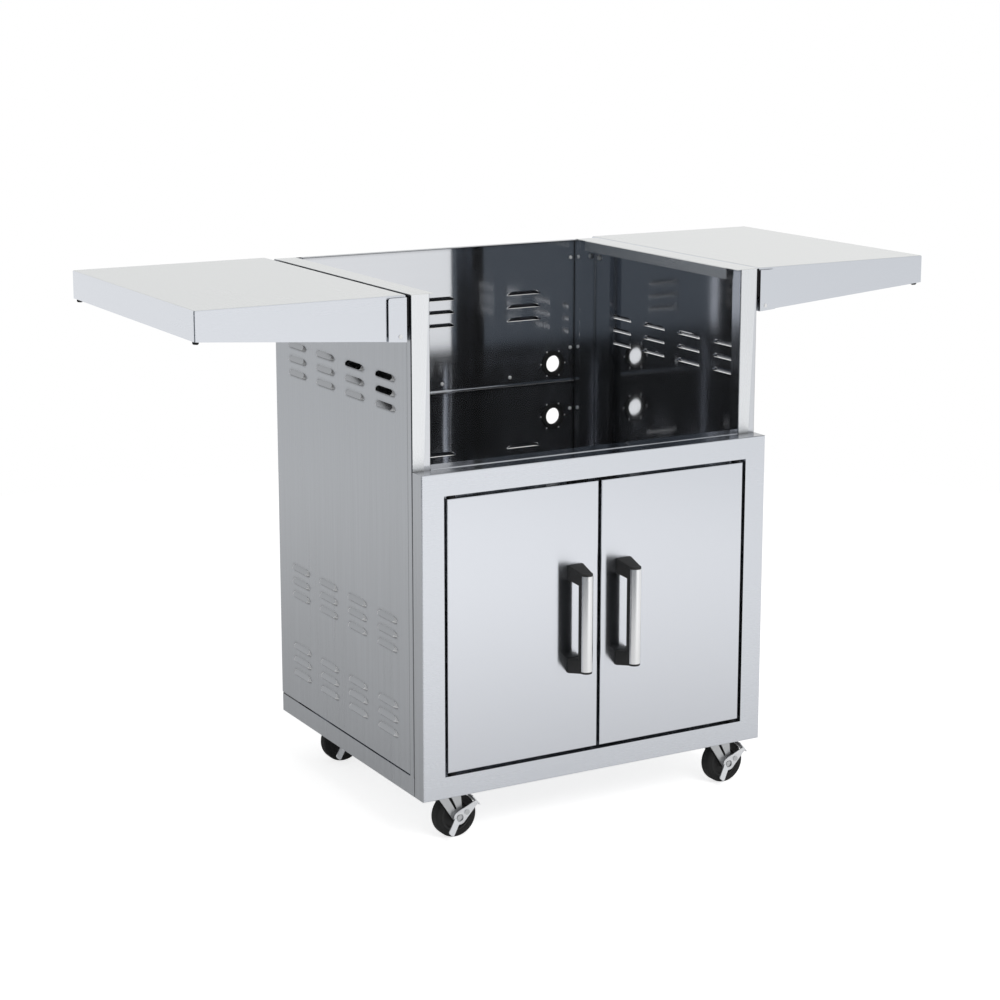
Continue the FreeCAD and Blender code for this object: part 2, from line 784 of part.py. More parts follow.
def cheek_bracket(leg_length):
    """The fixed bracket: a leg bolted to the cart's side and a cheek with a finger down to the pivot."""
    y0 = post_y + hinge_plate_sheet + apart
    y1 = y0 + plate
    low, high = shelf_pivot_z + cheek_step_up, worktop_height - hinge_plate_top - sheet
    outer = shelf_in + hinge_plate_width - plate
    path = [(half, y0 + leg_length), (half, y0), (outer, y0)]
    angle = bent_sheet(path, plate, "z", low, high)
    x, z = shelf_pivot_x, shelf_pivot_z
    finger = box((x - cheek_finger_radius, y0, z), (x + cheek_finger_radius, y1, low))
    eye = rod(cheek_finger_radius, (x, y0, z), (x, y1, z))
    hole = rod(shelf_pin_radius + running, (x, y0 - 1, z), (x, y1 + 1, z))
    return angle.fuse([finger, eye]).removeSplitter().cut(hole)


def bracket_pair():
    """Front and rear brackets of the right shelf; the rear leg also spans the shelf's overhang."""
    holes = bracket_bolt_holes()
    front = cheek_bracket(bracket_leg).cut(holes)
    rear = at_rear(cheek_bracket(bracket_leg + shelf_rear_overhang)).cut(holes)
    return [front, rear]


def shelf_pin():
    """The pivot pin of the front bracket, headed behind the apron."""
    start = post_y + hinge_plate_sheet + apart
    apron_back = shelf_front + sheet + bolt_slack * 3
    x, z = shelf_pivot_x, shelf_pivot_z
    shank = rod(shelf_pin_radius, (x, start, z), (x, apron_back, z))
    head = rod(shelf_pin_head_radius, (x, apron_back, z), (x, apron_back + shelf_pin_head_height, z))
    return shank.fuse(head).removeSplitter()


def bracket_bolts():
    """The bolts that hold the right-hand brackets, nutted inside the cart."""
    bolts = []
    for y, z, inside in bracket_bolt_places():
        face = half + plate
        head = hexagon(bracket_bolt_head_radius, (face, y, z), (face + bracket_bolt_head_height, y, z))
        shank = rod(bracket_bolt_radius, (face, y, z), (inside - bracket_nut_height, y, z))
        nut = hexagon(bracket_bolt_head_radius, (inside - bracket_nut_height, y, z), (inside, y, z))
        bolts.append(head.fuse([shank, nut]).removeSplitter())
    return bolts


# Casters, drawn about the kingpin at the origin with the wheel trailing to +X

def caster_plate():
    """Top plate, upper race and the kingpin that the fork turns on."""
    side = caster_plate_size / 2
    low = caster_height - caster_plate_thickness
    top = box((-side, -side, low), (side, side, caster_height))
    top = rounded(top, plate * 3, lambda c, e: abs(abs(c.x) - side) < 1e-6 and abs(abs(c.y) - side) < 1e-6)
    race = Part.makeCone(race_radius * 0.9, race_radius, race_height, V(0, 0, low - race_height))
    crown_low = wheel_diameter + crown_clearance
    pin = rod(kingpin_radius, (0, 0, crown_low - race_gap), (0, 0, low))
    head_top = crown_low - bolt_slack * 2
    head = rod(kingpin_head_radius, (0, 0, head_top - kingpin_head_height), (0, 0, head_top))
    reach = caster_bolt_spacing / 2
    spots = [(sx * reach, sy * reach) for sx in (-1, 1) for sy in (-1, 1)]
    hole = caster_bolt_radius + bolt_slack
    holes = [rod(hole, (x, y, low - 1), (x, y, caster_height + 1)) for x, y in spots]
    return top.fuse([race, pin, head]).removeSplitter().cut(holes)


def tangent_point(point, centre, radius, side):
    """Where a line from a point touches a circle, on the chosen side."""
    run = (centre[0] - point[0], centre[1] - point[1])
    distance = math.hypot(run[0], run[1])
    angle = math.atan2(run[1], run[0]) + side * math.asin(radius / distance)
    length = math.sqrt(distance ** 2 - radius ** 2)
    return point[0] + length * math.cos(angle), point[1] + length * math.sin(angle)


def caster_fork():
    """Crown, lower race and two slotted, tapered legs; one leg has an ear for the brake lever."""
    low = wheel_diameter + crown_clearance
    crown_top = low + fork_sheet
    inner = hub_width / 2 + fork_side_gap
    outer = inner + fork_sheet
    axle = (caster_trail, axle_z)
    left, right = (-fork_half_length, low), (fork_half_length, low)
    path = [left, (left[0], crown_top), (right[0], crown_top), right]
    path += [tangent_point(right, axle, fork_boss_radius, 1)]
    path += [tangent_point(left, axle, fork_boss_radius, -1)]
    bore = axle_radius + bolt_slack
    slot_top = (caster_trail * 0.1, low - fork_slot_width)
    slot_end = (caster_trail * 0.76, axle_z + fork_boss_radius + fork_slot_width)
    legs = []
    for y0, y1 in ((-outer, -inner), (inner, outer)):
        leg = prism(path, "y", y0, y1)
        leg = leg.fuse(rod(fork_boss_radius, (axle[0], y0, axle[1]), (axle[0], y1, axle[1])))
        slot = tangent_outline(slot_top, fork_slot_width / 2, slot_end, fork_slot_width / 3)
        slot.translate(V(0, y0, 0))
        legs.append(leg.cut(slot.extrude(V(0, fork_sheet, 0))))
    stud = (caster_trail + lever_pivot[0], axle_z + lever_pivot[1])
    ear = tangent_outline(axle, fork_boss_radius, stud, lever_pin_shoulder + 1)
    ear.translate(V(0, -outer, 0))
    crown = box((-fork_half_length, -outer, low), (fork_half_length, outer, crown_top))
    race_top = caster_height - caster_plate_thickness - race_height - race_gap
    race = Part.makeCone(race_radius, race_radius * 0.86, race_top - crown_top, V(0, 0, crown_top))
    body = crown.fuse(legs + [ear.extrude(V(0, fork_sheet, 0)), race]).removeSplitter()
    holes = [rod(kingpin_radius + running, (0, 0, low - 1), (0, 0, race_top + 1)),
             rod(bore, (axle[0], -outer - 1, axle[1]), (axle[0], outer + 1, axle[1]))]
    return body.cut(holes)


def caster_axle():
    """Axle bolt with its nut, and the shouldered stud of the brake lever, as three solids."""
    outer = hub_width / 2 + fork_side_gap + fork_sheet
    x, z = caster_trail, axle_z
    lever_y = -outer - axle_nut_height - lever_gap
    tip = lever_y - lever_sheet / 2
    bolt = rod(axle_radius, (x, tip, z), (x, outer, z))
    head = hexagon(axle_nut_radius, (x, outer, z), (x, outer + axle_nut_height, z))
    bolt = bolt.fuse(head).removeSplitter()
    nut = hexagon(axle_nut_radius, (x, -outer - axle_nut_height, z), (x, -outer, z))
    nut = nut.cut(rod(axle_radius + running, (x, -outer - 9, z), (x, 0, z)))
    sx, sz = x + lever_pivot[0], z + lever_pivot[1]
    stud = rod(lever_pin_shoulder, (sx, -outer, sz), (sx, lever_y, sz))
    pin_end = lever_y - lever_sheet - bolt_slack * 2
    stud = stud.fuse([rod(lever_pin_radius, (sx, lever_y, sz), (sx, pin_end, sz)),
                      rod(lever_pin_shoulder, (sx, pin_end - lever_sheet / 2, sz), (sx, pin_end, sz))])
    return [bolt, nut, stud.removeSplitter()]


def brake_lever():
    """A stamped lever: plate across the wheel, a bent toe wing and a shoe over the tread."""
    outer = hub_width / 2 + fork_side_gap + fork_sheet
    back = -outer - axle_nut_height - lever_gap - bolt_slack
    x, z = caster_trail, axle_z
    reach = wheel_diameter / 2 - lever_tip_inside
    angle = math.radians(lever_tip_angle)
    tip = (x + reach * math.cos(angle), z + reach * math.sin(angle))
    body = tangent_outline((x, z), lever_body_radius, tip, lever_tip_radius)
    body.translate(V(0, back - lever_sheet, 0))
    body = body.extrude(V(0, lever_sheet, 0))
    side = wing_width / 2
    wing = box((-wing_length, -lever_sheet, -side - wing_drop), (0, 0, side - wing_drop))
    wing = rounded(wing, lever_sheet * 2,
                   lambda c, e: abs(c.x + wing_length) < 1e-6 and abs(c.y + lever_sheet / 2) < 1e-6)
    wing.rotate(V(0, 0, 0), V(0, 0, 1), wing_bend)
    wing.rotate(V(0, 0, 0), V(0, 1, 0), -wing_slope)
    wing.translate(V(x - wing_fold_offset, back, z))
    shoe_in = wheel_diameter / 2 + shoe_gap
    shoe = box(
        (shoe_in, back - lever_sheet, -shoe_length / 2),
        (shoe_in + lever_sheet, shoe_overlap, shoe_length / 2),
    )
    shoe.rotate(V(0, 0, 0), V(0, 1, 0), -shoe_angle)
    shoe.translate(V(x, 0, z))
    px, pz = x + lever_pivot[0], z + lever_pivot[1]
    holes = [rod(axle_radius + lever_axle_clearance, (x, back - 9, z), (x, back + 1, z)),
             rod(lever_pin_radius + running, (px, back - 9, pz), (px, back + 1, pz))]
    return body.fuse([wing, shoe]).removeSplitter().cut(holes)


def caster_tyre():
    """A soft tyre with rounded shoulders."""
    radius, side = wheel_diameter / 2, wheel_width / 2
    ring = turned([(hub_radius, -side), (radius, -side), (radius, side), (hub_radius, side)],
                  (caster_trail, 0, axle_z), (0, 1, 0))
    rim = [edge for edge in ring.Edges if edge.Closed and abs(edge.Length - 2 * math.pi * radius) < 1e-3]
    return ring.makeFillet(tyre_round, rim)


def caster_hub():
    """A moulded hub, dished on both sides round its bore."""
    edge = hub_radius - running
    side, boss = wheel_width / 2 - 1, hub_width / 2
    dish = side * 0.45
    bore = axle_radius + running
    half_outline = [(bore, boss), (bore * 2.3, boss), (bore * 2.6, dish)]
    half_outline += [(edge - 4, dish), (edge - 3, side), (edge, side)]
    outline = half_outline + [(radius, -height) for radius, height in half_outline[::-1]]
    return turned(outline, (caster_trail, 0, axle_z), (0, 1, 0))


def caster_bolts():
    """Bolts up through each caster plate, nutted inside the channel."""
    low = caster_height - caster_plate_thickness
    nut_low = caster_height + plate
    bolts = []
    for x, y in bolt_places():
        head = hexagon(bolt_head_radius, (x, y, low - bolt_head_height), (x, y, low))
        shank = rod(caster_bolt_radius, (x, y, low), (x, y, nut_low + bolt_head_height))
        nut = hexagon(bolt_head_radius, (x, y, nut_low), (x, y, nut_low + bolt_head_height))
        bolts.append(head.fuse([shank, nut]).removeSplitter())
    return bolts


# Every node, written out

save("base_pan", base_pan())
save("caster_channels", caster_channels())
handed_pieces = (front_post, rear_post, side_panel, top_cap, door_skin, door_liner, strike_plate,
                 handle_tube, shelf, shelf_stiffener)
for piece in handed_pieces:
    part_shape = piece()
    save("left_" + piece.__name__, mirrored(part_shape))
    save("right_" + piece.__name__, part_shape)

save("upper_back_panel", upper_back_panel())
save("lower_back_panel", lower_back_panel())
save("hose_grommets", hose_grommets())
save("front_sill", front_sill())
save("door_frame", door_frame())
save("door_pivots", door_pivots())
save("magnetic_catches", magnetic_catches())
bolts = bracket_bolts()
save("bracket_bolts", bolts + [mirrored(bolt) for bolt in bolts])

handle_brackets = [handle_bracket(1), handle_bracket(-1)]
hinge_plates = [hinge_plate(), at_rear(hinge_plate())]
for part_name, solids in (("handle_brackets", handle_brackets), ("shelf_bumpers", shelf_bumpers()),
                          ("shelf_hinge_plates", hinge_plates)):
    save("left_" + part_name, [mirrored(solid) for solid in solids])
    save("right_" + part_name, solids)

brackets = bracket_pair()
save("shelf_brackets", brackets + [mirrored(bracket) for bracket in brackets])
pins = [shelf_pin(), at_rear(shelf_pin())]
save("shelf_pivot_pins", pins + [mirrored(pin) for pin in pins])

top_plate = caster_plate()
save("caster_plates", [moved(top_plate, x, y, 0) for _, x, y in caster_places()])
save("caster_bolts", caster_bolts())
for part_name, solids in (("fork", [caster_fork()]), ("axle", caster_axle()),
                          ("brake_lever", [brake_lever()]), ("tyre", [caster_tyre()]),
                          ("hub", [caster_hub()])):
    for place, x, y in caster_places():
        save(place + "_" + part_name, [moved(solid, x, y, 0) for solid in solids])
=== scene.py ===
"""Stainless grill cart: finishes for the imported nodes, the small fittings, and a plain studio."""
import logging
import math
from collections.abc import Callable
from dataclasses import dataclass
from enum import Enum
from functools import cache, partial
from typing import ClassVar

import bpy
from mathutils import Matrix, Vector


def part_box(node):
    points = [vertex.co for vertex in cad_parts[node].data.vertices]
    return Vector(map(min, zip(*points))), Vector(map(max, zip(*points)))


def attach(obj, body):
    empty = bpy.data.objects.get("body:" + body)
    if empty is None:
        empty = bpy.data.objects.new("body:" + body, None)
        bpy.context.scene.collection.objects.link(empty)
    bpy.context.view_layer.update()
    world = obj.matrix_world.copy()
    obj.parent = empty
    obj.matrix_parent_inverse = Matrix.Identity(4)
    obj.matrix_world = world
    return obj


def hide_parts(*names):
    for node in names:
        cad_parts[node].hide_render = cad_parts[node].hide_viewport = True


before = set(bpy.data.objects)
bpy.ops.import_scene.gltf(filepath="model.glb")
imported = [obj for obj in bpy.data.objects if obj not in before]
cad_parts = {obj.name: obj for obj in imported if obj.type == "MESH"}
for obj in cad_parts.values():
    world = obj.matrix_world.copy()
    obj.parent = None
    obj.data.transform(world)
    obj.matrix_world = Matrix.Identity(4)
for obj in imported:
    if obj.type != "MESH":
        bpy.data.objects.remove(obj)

Colour = tuple[float, float, float]
Triple = tuple[float, float, float]
Rounding = tuple[float, int, float]
Socket = bpy.types.NodeSocket
Face = bpy.types.MeshPolygon

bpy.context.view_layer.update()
LOG = logging.getLogger("grill_cart")

WHITE = (1.0, 1.0, 1.0, 1.0)
# Lengths in metres: from a face to the point that tells what it looks into, below a node's top where faces
# still count as its top, and over which the painted shade in corners fades away.
FACE_OFFSET = 0.002
TOP_SLACK = 0.003
SHADE_REACH = 0.007
# Folds sharper than this, in degrees, stay sharp in the shading.
FOLD_DEGREES = 32.0
# The share of a face's normal along a direction that counts as facing it squarely, or mostly.
SQUARELY = 0.9
MOSTLY = 0.8


class Way(Enum):
    """The direction in which a brushed surface draws its reflections out, a little off the axis."""

    ACROSS = (1.0, 0.16, 0.09)
    DEEP = (0.16, 1.0, 0.09)
    UP = (0.09, 0.16, 1.0)


class Side(Enum):
    """A hand of the cart as seen from the doors, with its sign along X."""

    LEFT = -1
    RIGHT = 1

    @property
    def word(self) -> str:
        """The side's name as the nodes spell it."""
        return self.name.lower()


class Corner(Enum):
    """A caster's place, as the nodes spell it."""

    FRONT_LEFT = "front_left"
    FRONT_RIGHT = "front_right"
    REAR_LEFT = "rear_left"
    REAR_RIGHT = "rear_right"


class Bench:
    """A node tree with short ways to add nodes and join them."""

    NOISE_MIDDLE: ClassVar[float] = 0.5

    def __init__(self, tree: bpy.types.NodeTree) -> None:
        """Take a tree and empty it.

        Args:
            tree: the node tree to fill.
        """
        self.tree = tree
        self.tree.nodes.clear()

    def add(self, kind: str, **values: object) -> bpy.types.Node:
        """Add a node and set its properties.

        Args:
            kind: the node's type name, without the ShaderNode prefix where it has one.
            values: properties of the node, by name.

        Returns:
            The new node.
        """
        node = self.tree.nodes.new(kind if kind.startswith("Node") else "ShaderNode" + kind)
        for name, value in values.items():
            setattr(node, name, value)
        return node

    def join(self, source: Socket, target: Socket) -> None:
        """Link an output to an input."""
        self.tree.links.new(source, target)

    def feed(self, node: bpy.types.Node, values: dict[str | int, object]) -> None:
        """Set some of a node's inputs to plain values, or link outputs to them.

        Args:
            node: the node.
            values: plain values or outputs, by the input's name or number.
        """
        for key, value in values.items():
            if isinstance(value, bpy.types.NodeSocket):
                self.join(value, node.inputs[key])
            else:
                node.inputs[key].default_value = value

    def calc(self, operation: str, first: object, second: object, clamp: bool = False) -> Socket:
        """Work out one value from two.

        Args:
            operation: the Math node's operation.
            first: a number or an output.
            second: a number or an output.
            clamp: keep the result between 0 and 1.

        Returns:
            The result's output.
        """
        node = self.add("Math", operation=operation, use_clamp=clamp)
        self.feed(node, {0: first, 1: second})
        return node.outputs[0]

    def noise(self, vector: Socket, scale: float, detail: float, rough: float) -> Socket:
        """Add a noise pattern centred on zero.

        Args:
            vector: where the pattern is read.
            scale: how many features go in one unit.
            detail: octaves of finer noise.
            rough: how strong the finer octaves are.

        Returns:
            A value from about -0.5 to 0.5.
        """
        node = self.add("TexNoise")
        self.feed(node, {"Vector": vector, "Scale": scale, "Detail": detail, "Roughness": rough})
        return self.calc("SUBTRACT", node.outputs[0], self.NOISE_MIDDLE)

    def scaled(self, colour: Socket, factor: Socket) -> Socket:
        """Make a colour lighter or darker.

        Args:
            colour: the colour's output.
            factor: the output that it is multiplied by.

        Returns:
            The new colour's output.
        """
        node = self.add("VectorMath", operation="SCALE")
        self.feed(node, {0: colour, "Scale": factor})
        return node.outputs[0]

    def bump(self, height: Socket, strength: float, distance: float) -> Socket:
        """Turn a height into a normal.

        Args:
            height: the height's output.
            strength: the share of the effect that is used.
            distance: what a height of one measures, in metres.

        Returns:
            The normal's output.
        """
        node = self.add("Bump")
        self.feed(node, {"Strength": strength, "Distance": distance, "Height": height})
        return node.outputs[0]

    def blend(self, factor: Socket, first: Socket, second: Socket) -> Socket:
        """Mix two shaders.

        Args:
            factor: 0 for the first shader, 1 for the second.
            first: a shader's output.
            second: a shader's output.

        Returns:
            The mixed shader's output.
        """
        node = self.add("MixShader")
        self.feed(node, {0: factor, 1: first, 2: second})
        return node.outputs[0]


class Effects:
    """Shader groups that several finishes share, each built once."""

    BROAD_SHARE: ClassVar[float] = 0.6
    OCCLUSION_SAMPLES: ClassVar[int] = 8
    PIT_DETAIL: ClassVar[float] = 2.0
    DUST_LIFT: ClassVar[float] = 0.08
    DUST_GAIN: ClassVar[float] = 1.6
    DUST_ROUGHNESS: ClassVar[float] = 0.35

    @staticmethod
    def _group(name: str, inputs: dict[str, str],
               outputs: dict[str, str]) -> tuple[Bench, bpy.types.Node, bpy.types.Node]:
        """Start a group with its sockets.

        Args:
            name: the group's name.
            inputs: socket kinds by name.
            outputs: socket kinds by name.

        Returns:
            The group's bench, and its input and output nodes.
        """
        tree = bpy.data.node_groups.new(name, "ShaderNodeTree")
        bench = Bench(tree)
        for in_out, sockets in (("INPUT", inputs), ("OUTPUT", outputs)):
            for label, kind in sockets.items():
                tree.interface.new_socket(name=label, in_out=in_out, socket_type="NodeSocket" + kind)
        return bench, bench.add("NodeGroupInput"), bench.add("NodeGroupOutput")

    @classmethod
    @cache
    def brushed(cls) -> bpy.types.NodeTree:
        """Grain lines and broad clouds of a brushed sheet.

        Returns:
            A group that puts out the streaked colour, the roughness and a height.
        """
        inputs = {"Grain": "Vector", "Place": "Vector", "Colour": "Color", "Roughness": "Float",
                  "Streaks": "Float", "Clouds": "Float", "Spread": "Float"}
        outputs = {"Colour": "Color", "Roughness": "Float", "Height": "Float"}
        bench, given, result = cls._group("brushed_grain", inputs, outputs)
        grain, place = given.outputs["Grain"], given.outputs["Place"]
        fine = bench.noise(grain, scale=1.0, detail=3.0, rough=0.62)
        broad = bench.noise(grain, scale=0.27, detail=2.0, rough=0.5)
        cloud = bench.noise(place, scale=3.1, detail=3.0, rough=0.5)
        lines = bench.calc("ADD", fine, bench.calc("MULTIPLY", broad, cls.BROAD_SHARE))
        swing = bench.calc("MULTIPLY", lines, given.outputs["Streaks"])
        drift = bench.calc("MULTIPLY", cloud, given.outputs["Clouds"])
        tone = bench.calc("ADD", bench.calc("ADD", swing, drift), 1.0)
        uneven = bench.calc("MULTIPLY", bench.calc("ADD", lines, cloud), given.outputs["Spread"])
        bench.feed(result, {
            "Colour": bench.scaled(given.outputs["Colour"], tone),
            "Roughness": bench.calc("ADD", given.outputs["Roughness"], uneven),
            "Height": bench.noise(place, scale=5.3, detail=1.0, rough=0.4),
        })
        return bench.tree

    @classmethod
    @cache
    def corners(cls) -> bpy.types.NodeTree:
        """Painted shade under hoods and along seams, where the sheet is closed in.

        Returns:
            A group that puts out the colour, darkened by painted shade where the sheet is closed in.
        """
        inputs = {"Colour": "Color", "Reach": "Float", "Depth": "Float"}
        bench, given, result = cls._group("painted_corner_shade", inputs, {"Colour": "Color"})
        # painted shade: the colour darkens where the occlusion test finds the sheet closed in
        open_air = bench.add("AmbientOcclusion", samples=cls.OCCLUSION_SAMPLES)
        bench.feed(open_air, {"Distance": given.outputs["Reach"]})
        closed = bench.calc("SUBTRACT", 1.0, open_air.outputs["AO"])
        corner_shade = bench.calc("MULTIPLY", closed, given.outputs["Depth"])
        keep = bench.calc("SUBTRACT", 1.0, corner_shade, clamp=True)
        bench.feed(result, {"Colour": bench.scaled(given.outputs["Colour"], keep)})
        return bench.tree

    @classmethod
    @cache
    def moulded(cls) -> bpy.types.NodeTree:
        """Fine pitted skin, dust and rub marks of a moulded black part.

        Returns:
            A group that puts out the colour, the roughness and a height.
        """
        inputs = {"Place": "Vector", "Colour": "Color", "Dust": "Color", "Roughness": "Float",
                  "Pits": "Float"}
        outputs = {"Colour": "Color", "Roughness": "Float", "Height": "Float"}
        bench, given, result = cls._group("moulded_skin", inputs, outputs)
        place = given.outputs["Place"]
        pits = bench.add("TexNoise")
        bench.feed(pits, {"Vector": place, "Scale": given.outputs["Pits"], "Detail": cls.PIT_DETAIL})
        dust = bench.noise(place, scale=46.0, detail=4.0, rough=0.65)
        cover = bench.calc("MULTIPLY", bench.calc("ADD", dust, cls.DUST_LIFT), cls.DUST_GAIN, clamp=True)
        paint = bench.add("Mix", data_type="RGBA")
        bench.feed(paint, {"Factor": cover, "A": given.outputs["Colour"], "B": given.outputs["Dust"]})
        uneven = bench.calc("MULTIPLY", dust, cls.DUST_ROUGHNESS)
        bench.feed(result, {
            "Colour": paint.outputs["Result"],
            "Roughness": bench.calc("ADD", given.outputs["Roughness"], uneven),
            "Height": pits.outputs[0],
        })
        return bench.tree


@dataclass(frozen=True)
class Finish:
    """A surface that becomes a material the first time it is asked for."""

    name: str
    colour: Colour
    roughness: float

    def material(self) -> bpy.types.Material:
        """Build the finish once.

        Returns:
            The material.
        """
        if self.name in bpy.data.materials:
            return bpy.data.materials[self.name]
        material = bpy.data.materials.new(self.name)
        material.use_nodes = True
        bench = Bench(material.node_tree)
        shader = bench.add("BsdfPrincipled")
        bench.join(shader.outputs[0], bench.add("OutputMaterial").inputs["Surface"])
        self.paint(bench, shader)
        return material

    def paint(self, bench: Bench, shader: bpy.types.Node) -> None:
        """Feed the shader, as each kind of finish does in its own way."""
        raise NotImplementedError


@dataclass(frozen=True)
class SheetSteel(Finish):
    """A stainless or plated sheet, its grain, and how far it draws reflections out."""

    BUMP: ClassVar[float] = 1.0

    stretch: float
    way: Way
    grain: Triple
    streaks: float
    clouds: float
    spread: float
    wave: float = 0.0
    # painted shade: how strongly the colour darkens in corners, seams and under hoods
    corner_shade: float = 0.0
    haze: float = 0.0

    def paint(self, bench: Bench, shader: bpy.types.Node) -> None:
        """Lay grain, painted shade in corners and drawn-out reflections on the shader.

        Args:
            bench: the material's bench.
            shader: its Principled shader.
        """
        place = bench.add("TexCoord").outputs["Object"]
        lines = bench.add("Mapping")
        bench.feed(lines, {"Vector": place, "Scale": self.grain})
        grain = bench.add("Group", node_tree=Effects.brushed())
        bench.feed(grain, {
            "Grain": lines.outputs[0], "Place": place, "Colour": (*self.colour, 1.0),
            "Roughness": self.roughness, "Streaks": self.streaks, "Clouds": self.clouds,
            "Spread": self.spread,
        })
        tone = grain.outputs["Colour"]
        # painted shade darkens the colour in corners and under hoods
        if self.corner_shade > 0.0:
            corners = bench.add("Group", node_tree=Effects.corners())
            bench.feed(corners, {"Colour": tone, "Reach": SHADE_REACH, "Depth": self.corner_shade})
            tone = corners.outputs["Colour"]
        turn = bench.add("VectorTransform", vector_type="VECTOR", convert_from="OBJECT",
                         convert_to="WORLD")
        bench.feed(turn, {0: self.way.value})
        bench.feed(shader, {
            "Base Color": tone, "Roughness": grain.outputs["Roughness"], "Metallic": 1.0 - self.haze,
            "Anisotropic": self.stretch, "Tangent": turn.outputs[0],
            "Normal": bench.bump(grain.outputs["Height"], self.BUMP, self.wave),
        })


@dataclass(frozen=True)
class BlackMould(Finish):
    """A black part: plastic, paint, rubber or tyre."""

    BUMP: ClassVar[float] = 0.5

    dust: Colour
    pits: float
    depth: float
    shine: float

    def paint(self, bench: Bench, shader: bpy.types.Node) -> None:
        """Lay the pitted and dusty skin on the shader.

        Args:
            bench: the material's bench.
            shader: its Principled shader.
        """
        skin = bench.add("Group", node_tree=Effects.moulded())
        bench.feed(skin, {
            "Place": bench.add("TexCoord").outputs["Object"], "Colour": (*self.colour, 1.0),
            "Dust": (*self.dust, 1.0), "Roughness": self.roughness, "Pits": self.pits,
        })
        bench.feed(shader, {
            "Base Color": skin.outputs["Colour"], "Roughness": skin.outputs["Roughness"],
            "Specular IOR Level": self.shine,
            "Normal": bench.bump(skin.outputs["Height"], self.BUMP, self.depth),
        })


DOOR_SHEET = SheetSteel(
    "door_sheet", colour=(0.685, 0.705, 0.748), roughness=0.17, stretch=0.9, way=Way.UP,
    grain=(4, 300, 900), streaks=0.03, clouds=0.02, spread=0.04)
FRAME_SHEET = SheetSteel(
    "frame_sheet", colour=(0.70, 0.722, 0.765), roughness=0.27, stretch=0.8, way=Way.UP,
    grain=(4, 300, 700), streaks=0.03, clouds=0.03, spread=0.05, corner_shade=1.2)
# Painted light: the front posts get a lighter copy of the stainless than the doors, for the brighter light on
# them.
LIT_POST_SHEET = SheetSteel(
    "post_lit_sheet", colour=(0.81, 0.825, 0.84), roughness=0.27, stretch=0.8, way=Way.UP,
    grain=(700, 700, 4), streaks=0.025, clouds=0.02, spread=0.04, corner_shade=1.2)
# Painted shade: side panels, rear posts, pan and flanks get a darker copy of the stainless, for the dimmer
# light on the sides.
SHADED_SIDE_SHEET = SheetSteel(
    "side_shade_sheet", colour=(0.45, 0.465, 0.488), roughness=0.3, stretch=0.7, way=Way.DEEP,
    grain=(300, 230, 4.5), streaks=0.22, clouds=0.16, spread=0.1, corner_shade=2.8)
# Painted shade: the louvre hoods get a darker copy of the side sheet.
SHADED_HOOD_SHEET = SheetSteel(
    "hood_shade_sheet", colour=(0.31, 0.32, 0.335), roughness=0.1, stretch=0.5, way=Way.DEEP,
    grain=(300, 230, 4.5), streaks=0.05, clouds=0.02, spread=0.04, corner_shade=1.6)
# Painted highlight: the hoods' domed ends get a pale, hazy copy of the sheet, for glints of light.
LIT_HOOD_ENDS = SheetSteel(
    "hood_end_highlight", colour=(0.97, 0.972, 0.975), roughness=0.5, stretch=0.0, way=Way.DEEP,
    grain=(300, 230, 4.5), streaks=0.05, clouds=0.02, spread=0.04, haze=0.6)
TOP_SHEET = SheetSteel(
    "worktop_sheet", colour=(0.74, 0.75, 0.745), roughness=0.26, stretch=0.8, way=Way.DEEP,
    grain=(500, 4, 500), streaks=0.03, clouds=0.02, spread=0.05)
APRON_SHEET = SheetSteel(
    "apron_sheet", colour=(0.70, 0.722, 0.765), roughness=0.26, stretch=0.8, way=Way.UP,
    grain=(4, 4, 700), streaks=0.025, clouds=0.03, spread=0.05)
INNER_SHEET = SheetSteel(
    "inner_sheet", colour=(0.70, 0.715, 0.745), roughness=0.075, stretch=0.92, way=Way.UP,
    grain=(3, 3, 700), streaks=0.04, clouds=0.04, spread=0.04, wave=0.0003, corner_shade=0.8, haze=0.02)
# Painted shade: a near-black copy of the stainless inside the back panels' hoods, on the side panels' front
# edges and on the front posts' folds.
SHADE_SHEET = SheetSteel(
    "shade_sheet", colour=(0.16, 0.165, 0.175), roughness=0.2, stretch=0.5, way=Way.UP,
    grain=(3, 3, 700), streaks=0.04, clouds=0.04, spread=0.04, corner_shade=1.5)
# Painted shade: a darker copy of the stainless on the ledges over the doors and the sill.
SHADED_LEDGE_SHEET = SheetSteel(
    "ledge_shade_sheet", colour=(0.32, 0.33, 0.35), roughness=0.09, stretch=0.5, way=Way.ACROSS,
    grain=(3, 700, 700), streaks=0.04, clouds=0.04, spread=0.04, corner_shade=0.8)
GRIP_STEEL = SheetSteel(
    "grip_steel", colour=(0.97, 0.972, 0.975), roughness=0.34, stretch=0.92, way=Way.UP,
    grain=(900, 900, 3), streaks=0.05, clouds=0.02, spread=0.05)
ZINC_STEEL = SheetSteel(
    "zinc_steel", colour=(0.72, 0.73, 0.75), roughness=0.24, stretch=0.0, way=Way.UP,
    grain=(220, 220, 220), streaks=0.16, clouds=0.1, spread=0.18)
LEVER_STEEL = SheetSteel(
    "lever_steel", colour=(0.86, 0.87, 0.89), roughness=0.34, stretch=0.0, way=Way.UP,
    grain=(420, 420, 420), streaks=0.2, clouds=0.1, spread=0.2)
SCREW_STEEL = SheetSteel(
    "screw_steel", colour=(0.92, 0.925, 0.93), roughness=0.4, stretch=0.0, way=Way.UP,
    grain=(600, 600, 600), streaks=0.08, clouds=0.04, spread=0.1, haze=0.6)
BLACK_PLASTIC = BlackMould(
    "black_plastic", colour=(0.004, 0.004, 0.005), roughness=0.32, dust=(0.009, 0.009, 0.010),
    pits=2600.0, depth=0.00005, shine=0.12)
